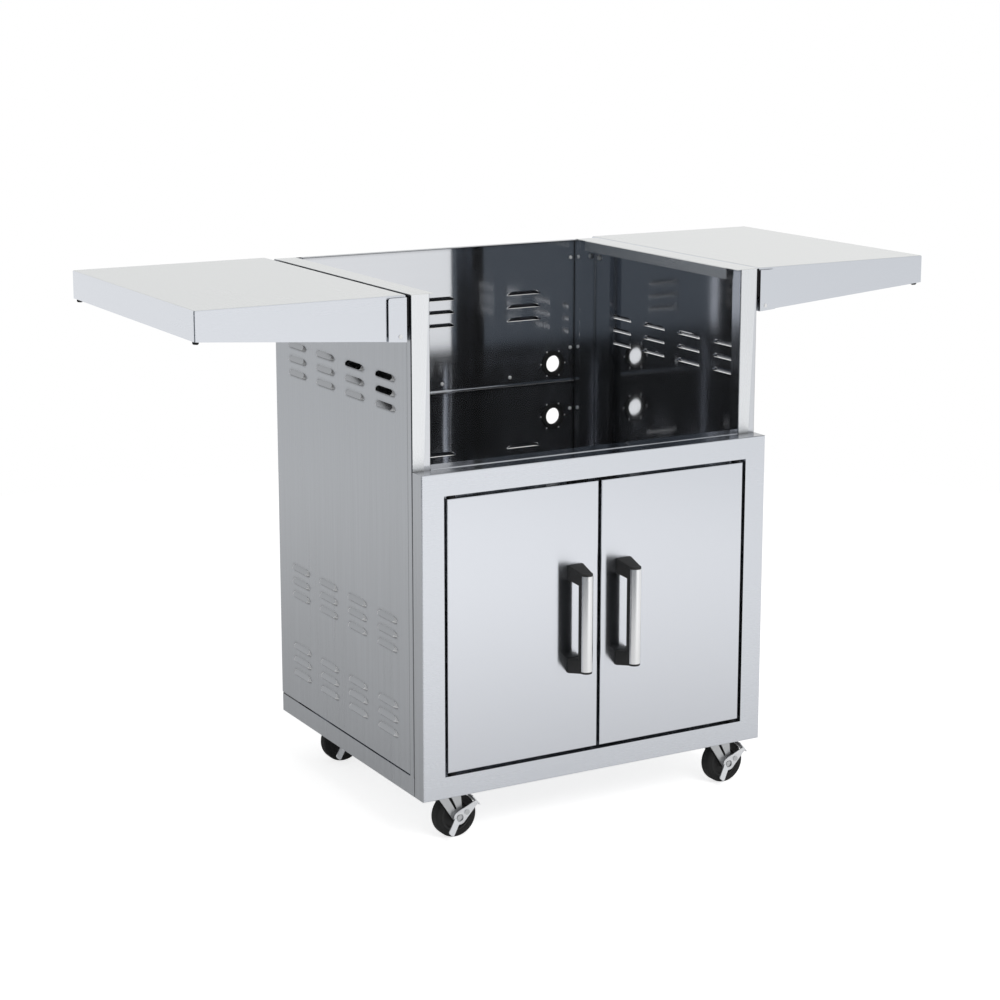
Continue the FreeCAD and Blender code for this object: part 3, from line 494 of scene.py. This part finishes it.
BLACK_PAINT = BlackMould(
    "black_paint", colour=(0.006, 0.006, 0.007), roughness=0.5, dust=(0.012, 0.012, 0.012),
    pits=1900.0, depth=0.00004, shine=0.15)
# Painted shade: near-black on the shelf's underside and stiffener, for the shade under the shelf.
SHADED_UNDERSIDE = BlackMould(
    "underside_shade", colour=(0.011, 0.0115, 0.013), roughness=0.7, dust=(0.022, 0.022, 0.023),
    pits=900.0, depth=0.0002, shine=0.15)
RUBBER = BlackMould(
    "rubber", colour=(0.004, 0.004, 0.0045), roughness=0.55, dust=(0.008, 0.008, 0.008),
    pits=1800.0, depth=0.00006, shine=0.15)
TYRE = BlackMould(
    "tyre", colour=(0.002, 0.002, 0.0024), roughness=0.5, dust=(0.006, 0.006, 0.006),
    pits=1400.0, depth=0.00008, shine=0.04)


@dataclass(frozen=True)
class CabinetSpace:
    """The room inside the sheets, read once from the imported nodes."""

    INSET: ClassVar[float] = 0.001

    half_width: float
    frame_top: float
    frame_front: float
    post_front: float
    back: float
    floor: float
    top: float

    @classmethod
    def measured(cls) -> "CabinetSpace":
        """Read the room's limits from the nodes that bound it.

        Returns:
            The space just inside the sheets.
        """
        frame_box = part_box("door_frame")
        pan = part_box("base_pan")
        return cls(half_width=frame_box[1].x - cls.INSET, frame_top=frame_box[1].z,
                   frame_front=frame_box[0].y + cls.INSET, post_front=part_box("left_front_post")[0].y,
                   back=pan[1].y - cls.INSET, floor=pan[1].z, top=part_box("left_side_panel")[1].z)

    def holds(self, point: Vector) -> bool:
        """Tell whether a point lies in the room.

        Args:
            point: a point just off a face, in metres.

        Returns:
            True inside the side panels, behind the front sheets and above the pan.
        """
        front = self.frame_front if point.z < self.frame_top else self.post_front
        inside = abs(point.x) < self.half_width and front < point.y < self.back
        return inside and self.floor < point.z < self.top

    def is_seen_from(self, face: Face) -> bool:
        """Tell whether a face looks into the room."""
        return self.holds(face.center + face.normal * FACE_OFFSET)


SPACE = CabinetSpace.measured()


def dress(node: str, *finishes: Finish, pick: Callable[[Face], Finish] | None = None) -> None:
    """Give a node its finish, or each of its faces one of several.

    Args:
        node: the node's name.
        finishes: the finish of the whole node, or those to choose from.
        pick: tells a face's finish; with none, the second goes on faces that look into the cabinet.
    """
    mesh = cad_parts[node].data
    mesh.materials.clear()
    for finish in finishes:
        mesh.materials.append(finish.material())
    numbers = {finish.name: number for number, finish in enumerate(finishes)}
    for face in mesh.polygons:
        if pick is not None:
            face.material_index = numbers[pick(face).name]
        elif len(finishes) > 1:
            face.material_index = int(SPACE.is_seen_from(face))
        else:
            face.material_index = 0
    LOG.info("%s: %s", node, finishes[0].name)


class Workshop:
    """Modelling by operator on one mesh object at a time."""

    @staticmethod
    def clear() -> None:
        """Leave edit mode and deselect everything."""
        if bpy.context.object is not None and bpy.context.object.mode != "OBJECT":
            bpy.ops.object.mode_set(mode="OBJECT")
        bpy.ops.object.select_all(action="DESELECT")

    @classmethod
    def take(cls, piece: bpy.types.Object) -> None:
        """Make a piece the active and only selected object.

        Args:
            piece: the object.
        """
        cls.clear()
        bpy.context.view_layer.objects.active = piece
        piece.select_set(True)

    @staticmethod
    def settle(name: str) -> bpy.types.Object:
        """Put the new active object's place into its mesh and name it.

        Args:
            name: the object's name.

        Returns:
            The object.
        """
        bpy.ops.object.transform_apply(location=True, rotation=True, scale=True)
        bpy.context.object.name = name
        return bpy.context.object

    @classmethod
    def drum(cls, name: str, radius: float, length: float, centre: Triple, sides: int,
             capped: bool = True) -> bpy.types.Object:
        """Add an upright cylinder with its place in its mesh.

        Args:
            name: the object's name.
            radius: in metres.
            length: height in metres.
            centre: its middle.
            sides: how many faces go round it.
            capped: close its ends.

        Returns:
            The new object, active and selected.
        """
        cls.clear()
        bpy.ops.mesh.primitive_cylinder_add(vertices=sides, radius=radius, depth=length, location=centre,
                                            end_fill_type="NGON" if capped else "NOTHING")
        return cls.settle(name)

    @classmethod
    def block(cls, name: str, low: Triple, high: Triple) -> bpy.types.Object:
        """Add a block between two corners with its place in its mesh.

        Args:
            name: the object's name.
            low: its lowest corner.
            high: its highest corner.

        Returns:
            The new object, active and selected.
        """
        cls.clear()
        centre = [(a + b) / 2 for a, b in zip(low, high)]
        size = [b - a for a, b in zip(low, high)]
        bpy.ops.mesh.primitive_cube_add(size=1.0, location=centre, scale=size)
        return cls.settle(name)

    @classmethod
    def faces(cls, piece: bpy.types.Object, wanted: Callable[[Face], bool]) -> None:
        """Select some faces and go into edit mode.

        Args:
            piece: the object.
            wanted: tells whether a face is selected.
        """
        cls.take(piece)
        bpy.ops.object.mode_set(mode="EDIT")
        bpy.ops.mesh.select_mode(type="FACE")
        bpy.ops.mesh.select_all(action="DESELECT")
        bpy.ops.object.mode_set(mode="OBJECT")
        for face in piece.data.polygons:
            face.select = wanted(face)
        bpy.ops.object.mode_set(mode="EDIT")

    @classmethod
    def apply(cls, piece: bpy.types.Object, kind: str, **values: object) -> None:
        """Add a modifier and apply it.

        Args:
            piece: the object.
            kind: the modifier's type.
            values: its settings, by name.
        """
        cls.take(piece)
        modifier = piece.modifiers.new(kind.lower(), kind)
        for name, value in values.items():
            setattr(modifier, name, value)
        bpy.ops.object.modifier_apply(modifier=modifier.name)

    @classmethod
    def bevel(cls, piece: bpy.types.Object, width: float, segments: int, degrees: float) -> None:
        """Round off the edges of a piece.

        Args:
            piece: the object.
            width: the rounding's width in metres.
            segments: how many faces go round it.
            degrees: edges that turn by less stay as they are.
        """
        cls.apply(piece, "BEVEL", width=width, segments=segments, limit_method="ANGLE",
                  angle_limit=math.radians(degrees))

    @classmethod
    def smooth(cls, piece: bpy.types.Object) -> None:
        """Shade a piece smooth except at its folds."""
        cls.take(piece)
        bpy.ops.object.shade_smooth_by_angle(angle=math.radians(FOLD_DEGREES))

    @staticmethod
    def copy(piece: bpy.types.Object, name: str, place: Matrix) -> bpy.types.Object:
        """Copy a piece with a mesh of its own, moved in the mesh.

        Args:
            piece: the object to copy.
            name: the copy's name.
            place: where the copy goes, without mirroring.

        Returns:
            The copy.
        """
        twin = bpy.data.objects.new(name, piece.data.copy())
        bpy.context.scene.collection.objects.link(twin)
        twin.data.transform(place)
        return twin

    @staticmethod
    def fit(piece: bpy.types.Object, body: str, slot: str, finish: Finish, *nodes: str) -> None:
        """Finish a piece and fix it to its body.

        Args:
            piece: the object.
            body: the body that carries it.
            slot: the record's material slot; not used.
            finish: its finish.
            nodes: the nodes that it stands for.
        """
        piece.data.materials.clear()
        piece.data.materials.append(finish.material())
        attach(piece, body)
        if nodes:
            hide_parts(*nodes)
        LOG.info("%s on %s: %s", piece.name, body, finish.name)


@dataclass
class Screw:
    """A small pan-head screw or domed rivet, modelled once at the origin with its head along +Z.

    The steps of its dome are shares of the radius and of the rise, from the rim inwards.
    """

    SIDES: ClassVar[int] = 14
    RIM_SHARE: ClassVar[float] = 0.5
    DOME_STEPS: ClassVar[tuple[tuple[float, float], ...]] = ((0.16, 0.28), (0.26, 0.18))
    RECESS_INSET: ClassVar[float] = 0.2
    RECESS_TAPER: ClassVar[float] = 0.8

    name: str
    radius: float
    rise: float
    recess: float

    def model(self) -> bpy.types.Object:
        """Model the head.

        Returns:
            The pattern that the copies are made from.
        """
        rim = self.rise * self.RIM_SHARE
        head = Workshop.drum(self.name, self.radius, rim, (0, 0, rim / 2), self.SIDES)
        Workshop.faces(head, lambda face: face.normal.z > SQUARELY)
        for share, lift in self.DOME_STEPS:
            bpy.ops.mesh.inset(thickness=self.radius * share)
            bpy.ops.transform.translate(value=(0, 0, self.rise * lift))
        if self.recess > 0.0:
            bpy.ops.mesh.inset(thickness=self.radius * self.RECESS_INSET)
            bpy.ops.mesh.extrude_region_move(TRANSFORM_OT_translate={"value": (0, 0, -self.recess)})
            bpy.ops.transform.resize(value=(self.RECESS_TAPER, self.RECESS_TAPER, 1.0))
        bpy.ops.object.mode_set(mode="OBJECT")
        Workshop.smooth(head)
        return head

    def drive(self, body: str, facing: Vector, places: list[Triple]) -> None:
        """Put a copy at each place, its head turned one way.

        Args:
            body: the body that carries them.
            facing: where the heads look.
            places: the points on the surface under the heads.
        """
        pattern = self.model()
        turn = facing.to_track_quat("Z", "Y").to_matrix().to_4x4()
        for number, place in enumerate(places, start=1):
            twin = Workshop.copy(pattern, f"{self.name}_{number}", Matrix.Translation(Vector(place)) @ turn)
            Workshop.fit(twin, body, "zinc_steel", SCREW_STEEL)
        bpy.data.objects.remove(pattern)


@dataclass
class Cabinet:
    """The cart's fixed sheets and fittings.

    The constants are shares of a face's normal: out of the sheet under a hood, along the panel on a hood's
    domed end, and forward and outward on the front post's outer fold. The plane's slack is in metres.
    """

    HOOD_UNDER: ClassVar[float] = -0.1
    HOOD_DOME: ClassVar[float] = 0.12
    FOLD_FORWARD: ClassVar[float] = 0.1
    FOLD_OUTWARD: ClassVar[tuple[float, float]] = (0.3, 0.99)
    PLANE_SLACK: ClassVar[float] = 0.0002

    screw_radius: float = 0.0034
    screw_rise: float = 0.0024
    screw_recess: float = 0.4
    edge_screw: float = 0.276
    edge_heights: tuple[float, ...] = (0.152, 0.262, 0.402, 0.590, 0.708, 0.880)
    joint_screws: tuple[float, ...] = (-0.144, 0.0, 0.144)
    joint_height: float = 0.661
    hose_x: float = 0.238
    hose_heights: tuple[float, ...] = (0.6795, 0.5785)
    ring_radius: float = 0.0262
    ring_count: int = 6
    rivet_radius: float = 0.0015
    rivet_rise: float = 0.0011

    def dress(self) -> None:
        """Finish every fixed node."""
        for side in Side:
            outward = Vector((side.value, 0, 0))
            self._panel(side.word + "_side_panel", outward, INNER_SHEET)
            dress(side.word + "_front_post", LIT_POST_SHEET, INNER_SHEET, SHADED_SIDE_SHEET, SHADE_SHEET, pick=self._post)
            dress(side.word + "_rear_post", SHADED_SIDE_SHEET, INNER_SHEET)
            dress(side.word + "_top_cap", TOP_SHEET)
        for node in ("upper_back_panel", "lower_back_panel"):
            self._panel(node, Vector((0, 1, 0)), SHADE_SHEET)
        dress("base_pan", SHADED_SIDE_SHEET, INNER_SHEET)
        for node in ("door_frame", "front_sill"):
            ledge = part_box(node)[1].z - TOP_SLACK
            dress(node, FRAME_SHEET, INNER_SHEET, SHADED_SIDE_SHEET, SHADED_LEDGE_SHEET, pick=partial(self._frame, ledge))
        for node in ("caster_channels", "shelf_pivot_pins", "caster_plates", "caster_bolts"):
            dress(node, ZINC_STEEL)
        dress("bracket_bolts", SCREW_STEEL)
        for node in ("shelf_brackets", "door_pivots"):
            dress(node, BLACK_PAINT)
        dress("hose_grommets", RUBBER)
        dress("magnetic_catches", BLACK_PLASTIC)

    @staticmethod
    def _front(front: Finish, face: Face) -> Finish:
        """Choose the finish of a face on one of the front sheets.

        Args:
            front: the finish of the sheet's front.
            face: the face.

        Returns:
            The inner finish in the cabinet, the side finish with its painted shade on its left or right
            flank, else the front's.
        """
        if SPACE.is_seen_from(face):
            return INNER_SHEET
        x = face.center.x
        return SHADED_SIDE_SHEET if face.normal.x * x > MOSTLY * abs(x) else front

    @classmethod
    def _frame(cls, ledge: float, face: Face) -> Finish:
        """Choose the finish of a face on the door frame or the sill.

        Args:
            ledge: the height above which a level face belongs to the ledge over the doors.
            face: the face.

        Returns:
            Painted shade on the ledge there, else as on the other front sheets.
        """
        # painted shade on the level top of the ledge
        if face.normal.z > MOSTLY and face.center.z > ledge:
            return SHADED_LEDGE_SHEET
        return cls._front(FRAME_SHEET, face)

    @classmethod
    def _post(cls, face: Face) -> Finish:
        """Choose the finish of a face on a front post.

        Args:
            face: the face.

        Returns:
            Painted shade on the fold beside the side panel, else as on the other front sheets.
        """
        outward = math.copysign(face.normal.x, face.normal.x * face.center.x)
        least, most = cls.FOLD_OUTWARD
        # painted shade on the fold beside the side panel
        if -face.normal.y > cls.FOLD_FORWARD and least < outward < most:
            return SHADE_SHEET
        return cls._front(LIT_POST_SHEET, face)

    @classmethod
    def _panel(cls, node: str, outward: Vector, slots: Finish) -> None:
        """Finish a louvred panel: plain sheet, mirror-like inside, hoods in painted shade and their ends in
        painted highlight.

        Args:
            node: the panel's name.
            outward: the way its hoods stand out.
            slots: the finish inside the hoods; on the back panels it is painted shade.
        """
        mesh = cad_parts[node].data
        facing = [face for face in mesh.polygons if face.normal.dot(outward) > SQUARELY]
        plane = max(facing, key=lambda face: face.area).center.dot(outward) + cls.PLANE_SLACK
        along = Vector((0, 0, 1)).cross(outward)

        def finish_of(face: Face) -> Finish:
            """Choose the finish of a face on the panel.

            Args:
                face: the face.

            Returns:
                One for the inside, under the hoods, the front edge in painted shade, the sheet, the hoods'
                ends in painted highlight, and the hoods in painted shade.
            """
            if SPACE.is_seen_from(face):
                return INNER_SHEET
            if face.normal.dot(outward) < cls.HOOD_UNDER:
                return slots
            # painted shade on the sheet's front edge
            if face.normal.y < -SQUARELY:
                return SHADE_SHEET
            if face.center.dot(outward) < plane:
                return SHADED_SIDE_SHEET
            # painted highlight on the hoods' ends, painted shade on the rest of each hood
            return LIT_HOOD_ENDS if abs(face.normal.dot(along)) > cls.HOOD_DOME else SHADED_HOOD_SHEET

        dress(node, SHADED_SIDE_SHEET, INNER_SHEET, SHADED_HOOD_SHEET, LIT_HOOD_ENDS, SHADE_SHEET, pick=finish_of)

    def fasten(self) -> None:
        """Screw the back panels to the posts and to each other, inside and out, and rivet the hose holes."""
        inner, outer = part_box("left_rear_post")[1].y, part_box("base_pan")[1].y
        edges = [(side.value * self.edge_screw, height) for side in Side for height in self.edge_heights]
        joints = [(x, self.joint_height) for x in self.joint_screws]
        for name, depth, facing in (("inner_screw", inner, -1), ("outer_screw", outer, 1)):
            places = [(x, depth, z) for x, z in edges + joints]
            screw = Screw(name, self.screw_radius, self.screw_rise, self.screw_rise * self.screw_recess)
            screw.drive("cart", Vector((0, facing, 0)), places)
        turns = [math.tau * step / self.ring_count for step in range(self.ring_count)]
        steps = [(self.ring_radius * math.cos(turn), self.ring_radius * math.sin(turn)) for turn in turns]
        ring = [(self.hose_x + dx, inner, height + dz) for height in self.hose_heights for dx, dz in steps]
        rivet = Screw("hose_rivet", self.rivet_radius, self.rivet_rise, 0.0)
        rivet.drive("cart", Vector((0, -1, 0)), ring)


@dataclass
class Door:
    """One door with its handle: a black bar behind a stainless strip, on two tapered standoffs.

    A rounding is its width in metres, its segments, and the least turn in degrees of the edges it takes.
    """

    REARWARD: ClassVar[float] = 0.01

    side: Side
    grip_x: float = 0.047
    grip_y: float = -0.305525
    grip_middle: float = 0.357
    grip_radius: float = 0.01075
    grip_half: float = 0.0855
    grip_depth: float = 0.006
    bar_sides: int = 64
    bar_rounding: Rounding = (0.0012, 3, 50.0)
    strip_half: float = 0.0815
    strip_angle: float = 80.0
    strip_sheet: float = 0.0006
    strip_overlap: float = 1.2
    strip_sides: int = 144
    strip_rounding: Rounding = (0.0002, 2, 50.0)
    standoff_width: float = 0.030
    standoff_base: tuple[float, float] = (0.067, 0.093)
    standoff_tip: tuple[float, float] = (0.0625, 0.0855)
    standoff_rounding: Rounding = (0.0016, 3, 30.0)
    screw_radius: float = 0.0028
    screw_rise: float = 0.0020
    screw_recess: float = 0.0008
    screw_seat: float = 0.0012
    screw_shift: float = 0.001
    screw_height: float = 0.08

    def dress(self) -> None:
        """Finish the door's nodes."""
        dress(self.side.word + "_door_skin", DOOR_SHEET)
        dress(self.side.word + "_door_liner", INNER_SHEET)
        dress(self.side.word + "_strike_plate", ZINC_STEEL)

    @property
    def body(self) -> str:
        """The body that the door's pieces ride on."""
        return self.side.word + "_door"

    def build_handle(self) -> None:
        """Model the bar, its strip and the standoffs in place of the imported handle."""
        x = self.side.value * self.grip_x
        centre = (x, self.grip_y, self.grip_middle)
        self._bar(centre)
        self._strip(centre)
        standoffs = [self._standoff(way, x) for way in (1, -1)]
        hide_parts(self.side.word + "_handle_brackets")

    def _bar(self, centre: Triple) -> None:
        """Model the black bar, drawn out towards the door.

        Args:
            centre: the handle's middle.
        """
        bar = Workshop.drum(self.side.word + "_grip_bar", self.grip_radius - self.strip_sheet,
                            2 * self.grip_half, centre, self.bar_sides)
        Workshop.faces(bar, lambda face: face.normal.y > self.REARWARD)
        bpy.ops.transform.translate(value=(0, self.grip_depth, 0))
        bpy.ops.object.mode_set(mode="OBJECT")
        Workshop.bevel(bar, *self.bar_rounding)
        Workshop.smooth(bar)
        Workshop.fit(bar, self.body, "black_plastic", BLACK_PLASTIC, self.side.word + "_handle_tube")

    def _strip(self, centre: Triple) -> None:
        """Model the stainless strip on the bar's face.

        Args:
            centre: the handle's middle.
        """
        strip = Workshop.drum(self.side.word + "_grip_strip", self.grip_radius, 2 * self.strip_half,
                              centre, self.strip_sides, capped=False)
        edge = math.cos(math.radians(self.strip_angle))
        Workshop.faces(strip, lambda face: -face.normal.y < edge)
        bpy.ops.mesh.delete(type="FACE")
        bpy.ops.object.mode_set(mode="OBJECT")
        Workshop.apply(strip, "SOLIDIFY", thickness=self.strip_sheet * self.strip_overlap, offset=-1.0)
        Workshop.bevel(strip, *self.strip_rounding)
        Workshop.smooth(strip)
        Workshop.fit(strip, self.body, "stainless", GRIP_STEEL)

    def _standoff(self, way: int, x: float) -> bpy.types.Object:
        """Model one standoff, wide at the door and as narrow as the bar at its tip.

        Args:
            way: 1 for the upper one, -1 for the lower one.
            x: the handle's place across the cart.

        Returns:
            The finished piece.
        """
        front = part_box(self.side.word + "_door_skin")[0].y
        base, tip = self.standoff_base, self.standoff_tip
        reach = self.standoff_width / 2
        ends = sorted(self.grip_middle + way * height for height in base)
        name = f"{self.side.word}_standoff_{'upper' if way > 0 else 'lower'}"
        block = Workshop.block(name, (x - reach, self.grip_y, ends[0]), (x + reach, front, ends[1]))
        Workshop.faces(block, lambda face: face.normal.y < -SQUARELY)
        middle = self.grip_middle + way * (tip[0] + tip[1]) / 2
        narrow = (self.grip_radius - self.strip_sheet) / reach
        bpy.ops.transform.resize(value=(narrow, 1.0, (tip[1] - tip[0]) / (base[1] - base[0])))
        bpy.ops.transform.translate(value=(0, 0, middle - sum(ends) / 2))
        bpy.ops.object.mode_set(mode="OBJECT")
        Workshop.bevel(block, *self.standoff_rounding)
        Workshop.smooth(block)
        Workshop.fit(block, self.body, "black_plastic", BLACK_PLASTIC)
        return block

    def fasten(self) -> None:
        """Screw the standoffs on from inside the door."""
        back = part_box(self.side.word + "_door_liner")[0].y + self.screw_seat
        x = self.side.value * (self.grip_x + self.screw_shift)
        places = [(x, back, self.grip_middle + way * self.screw_height) for way in (1, -1)]
        screw = Screw(self.side.word + "_handle_screw", self.screw_radius, self.screw_rise, self.screw_recess)
        screw.drive(self.body, Vector((0, 1, 0)), places)


@dataclass
class Shelf:
    """One fold-down side shelf."""

    LEVEL: ClassVar[float] = 0.7

    side: Side
    sheet: float = 0.0008
    rivet_radius: float = 0.0034
    rivet_rise: float = 0.0012
    rivet_spot: tuple[float, float] = (0.3505, 0.8485)

    def dress(self) -> None:
        """Finish the shelf's nodes: flat top, aprons, and the underside in painted shade."""
        name = self.side.word + "_shelf"
        low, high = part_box(name)
        sheet = self.sheet

        def finish_of(face: Face) -> Finish:
            """Choose the finish of a face on the tray.

            Args:
                face: the face.

            Returns:
                The top's finish, painted shade on the underside, or the aprons' finish.
            """
            if face.normal.z > self.LEVEL and face.center.z > high.z - TOP_SLACK:
                return TOP_SHEET
            spot = face.center + face.normal * FACE_OFFSET
            inside = low.x + sheet < spot.x < high.x - sheet and low.y + sheet < spot.y < high.y - sheet
            below = spot.z < high.z - sheet and face.normal.z < SQUARELY
            # painted shade on the faces under the shelf's top
            return SHADED_UNDERSIDE if inside and below else APRON_SHEET

        dress(name, APRON_SHEET, TOP_SHEET, SHADED_UNDERSIDE, pick=finish_of)
        dress(name + "_hinge_plates", APRON_SHEET)
        dress(name + "_stiffener", SHADED_UNDERSIDE)
        dress(name + "_bumpers", RUBBER)

    def fasten(self) -> None:
        """Head the hinge pin over at the front plate."""
        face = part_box(self.side.word + "_shelf_hinge_plates")[0].y
        x, z = self.rivet_spot
        rivet = Screw(self.side.word + "_hinge_rivet", self.rivet_radius, self.rivet_rise, 0.0)
        rivet.drive(self.side.word + "_shelf", Vector((0, -1, 0)), [(self.side.value * x, face, z)])


@dataclass
class Caster:
    """One braked swivel caster."""

    corner: Corner

    def dress(self) -> None:
        """Finish the caster's nodes."""
        name = self.corner.value
        dress(name + "_fork", ZINC_STEEL)
        dress(name + "_axle", ZINC_STEEL)
        dress(name + "_brake_lever", LEVER_STEEL)
        dress(name + "_tyre", TYRE)
        dress(name + "_hub", BLACK_PLASTIC)


@dataclass
class Studio:
    """Floor, world, lamp and the camera.

    The surround gives the brightness that metal mirrors at each bearing in degrees, 0 in front of the doors
    and growing to the right; its tint is the power of that brightness in red, green and blue.
    """

    floor_radius: float = 2.6
    floor_sides: int = 96
    floor_paint: float = 0.82
    floor_lift: float = 0.75
    inner_glow: float = 0.15
    outer_glow: float = 0.43
    plain_light: float = 0.38
    key_power: float = 40.0
    key_place: Triple = (0.0, -2.7, 2.3)
    key_aim: Triple = (0.0, -1.9, 0.0)
    key_size: float = 2.0
    surround: tuple[tuple[float, float], ...] = (
        (-180, 0.95), (-150, 0.95), (-120, 0.35), (-105, 0.14), (-90, 0.12), (-60, 0.12),
        (-45, 0.09), (-20, 0.11), (-8, 0.32), (0, 0.75), (22, 1.0), (36, 0.86),
        (55, 0.75), (100, 0.85), (140, 1.0), (155, 0.95), (180, 0.95),
    )
    surround_tint: Triple = (1.06, 1.0, 0.94)
    camera_place: Triple = (-1.96624, -3.42161, 1.41280)
    camera_turn: float = 29.398
    camera_dip: float = 11.550
    focal_pixels: float = 2303.04
    frame_pixels: float = 1000.0
    sensor_width: float = 36.0
    lens_shift: float = -0.06

    def build(self) -> None:
        """Set the whole studio up."""
        self.floor()
        self.world()
        self.key_lamp()
        self.camera()
        bpy.context.scene.view_settings.view_transform = "Standard"

    @staticmethod
    def _rays(bench: Bench) -> tuple[Socket, Socket]:
        """Tell the camera's rays and mirrored ones from the rest.

        Args:
            bench: the bench of a material or world.

        Returns:
            An output that is 1 for rays from the camera, and one for rays that a surface mirrors.
        """
        path = bench.add("LightPath")
        mirrored = bench.calc("MAXIMUM", path.outputs["Is Glossy Ray"], path.outputs["Is Transmission Ray"])
        return path.outputs["Is Camera Ray"], mirrored

    def floor(self) -> None:
        """Lay a round pale floor that keeps the shadow and runs out into the white."""
        bpy.ops.object.select_all(action="DESELECT")
        bpy.ops.mesh.primitive_circle_add(vertices=self.floor_sides, radius=self.floor_radius,
                                          fill_type="NGON", location=(0, 0, 0))
        floor = bpy.context.object
        floor.name = "floor"
        material = bpy.data.materials.new("pale_floor")
        material.use_nodes = True
        material.cycles.emission_sampling = "NONE"
        bench = Bench(material.node_tree)
        paint, glow, both = (bench.add(kind) for kind in ("BsdfDiffuse", "Emission", "AddShader"))
        seen, mirrored = self._rays(bench)
        spot = bench.add("VectorMath", operation="LENGTH")
        bench.feed(spot, {0: bench.add("TexCoord").outputs["Object"]})
        outer = bench.calc("MULTIPLY", spot.outputs["Value"], self.outer_glow / self.floor_radius)
        pale = bench.calc("MULTIPLY", mirrored, bench.calc("ADD", outer, self.inner_glow))
        lift = bench.calc("MULTIPLY", seen, self.floor_lift)
        bench.feed(paint, {"Color": (self.floor_paint, self.floor_paint, self.floor_paint, 1.0)})
        bench.feed(glow, {"Strength": bench.calc("ADD", lift, pale)})
        bench.feed(both, {0: paint.outputs[0], 1: glow.outputs[0]})
        bench.join(both.outputs[0], bench.add("OutputMaterial").inputs["Surface"])
        floor.data.materials.append(material)

    def world(self) -> None:
        """White behind the cart, plain light on it, and a surround that darkens to the left for the metal."""
        world = bpy.data.worlds.new("studio")
        bpy.context.scene.world = world
        world.use_nodes = True
        world.cycles.sampling_method = "NONE"
        bench = Bench(world.node_tree)
        aim = bench.add("SeparateXYZ")
        bench.feed(aim, {0: bench.add("TexCoord").outputs["Generated"]})
        bearing = bench.calc("ARCTAN2", aim.outputs["X"], bench.calc("MULTIPLY", aim.outputs["Y"], -1.0))
        fall = bench.add("ValToRGB")
        bench.feed(fall, {0: bench.calc("ADD", bench.calc("DIVIDE", bearing, math.tau), 0.5)})
        self._fill(fall.color_ramp)
        seen, mirrored = self._rays(bench)
        plain, surround, white = (bench.add("Background") for _ in range(3))
        bench.feed(plain, {"Color": WHITE, "Strength": self.plain_light})
        bench.feed(surround, {"Color": fall.outputs[0]})
        bench.feed(white, {"Color": WHITE})
        light = bench.blend(mirrored, plain.outputs[0], surround.outputs[0])
        whole = bench.blend(seen, light, white.outputs[0])
        bench.join(whole, bench.add("OutputWorld").inputs["Surface"])

    def _fill(self, ramp: bpy.types.ColorRamp) -> None:
        """Put the surround's brightness on a ramp that goes once round the cart.

        Args:
            ramp: a new ramp, with stops at its two ends only.
        """
        ramp.interpolation = "EASE"
        ends = {0.0: 0, 1.0: -1}
        for degrees, level in self.surround:
            stop = degrees / 360.0 + 0.5
            element = ramp.elements[ends[stop]] if stop in ends else ramp.elements.new(stop)
            element.color = (*(level ** power for power in self.surround_tint), 1.0)

    def key_lamp(self) -> None:
        """Hang one large soft lamp in front of the cart, hidden from the camera and the metal."""
        lamp = bpy.data.lights.new("key", "AREA")
        lamp.shape = "DISK"
        lamp.size = self.key_size
        lamp.energy = self.key_power
        holder = bpy.data.objects.new("key", lamp)
        bpy.context.scene.collection.objects.link(holder)
        place = Vector(self.key_place)
        aim = Vector(self.key_aim) - place
        holder.matrix_world = Matrix.Translation(place) @ aim.to_track_quat("-Z", "Y").to_matrix().to_4x4()
        holder.visible_glossy = False
        holder.visible_camera = False

    def camera(self) -> None:
        """Stand the camera where the photograph was taken."""
        lens = bpy.data.cameras.new("camera")
        lens.sensor_width = self.sensor_width
        lens.sensor_fit = "HORIZONTAL"
        lens.lens = self.focal_pixels / self.frame_pixels * lens.sensor_width
        lens.shift_y = self.lens_shift
        holder = bpy.data.objects.new("camera", lens)
        bpy.context.scene.collection.objects.link(holder)
        turn, dip = math.radians(self.camera_turn), math.radians(self.camera_dip)
        ahead = Vector((math.sin(turn) * math.cos(dip), math.cos(turn) * math.cos(dip), -math.sin(dip)))
        right = Vector((math.cos(turn), -math.sin(turn), 0.0))
        up = right.cross(ahead)
        axes = Matrix((right, up, -ahead)).transposed()
        holder.matrix_world = Matrix.Translation(Vector(self.camera_place)) @ axes.to_4x4()
        bpy.context.scene.camera = holder


def main() -> None:
    """Build every sub-assembly in turn, then the studio."""
    logging.basicConfig(level=logging.INFO, format="%(name)s %(message)s")
    cabinet = Cabinet()
    cabinet.dress()
    cabinet.fasten()
    for side in Side:
        door, shelf = Door(side), Shelf(side)
        door.dress()
        door.build_handle()
        door.fasten()
        shelf.dress()
        shelf.fasten()
    for corner in Corner:
        Caster(corner).dress()
    Studio().build()


if __name__ == "__main__":
    main()
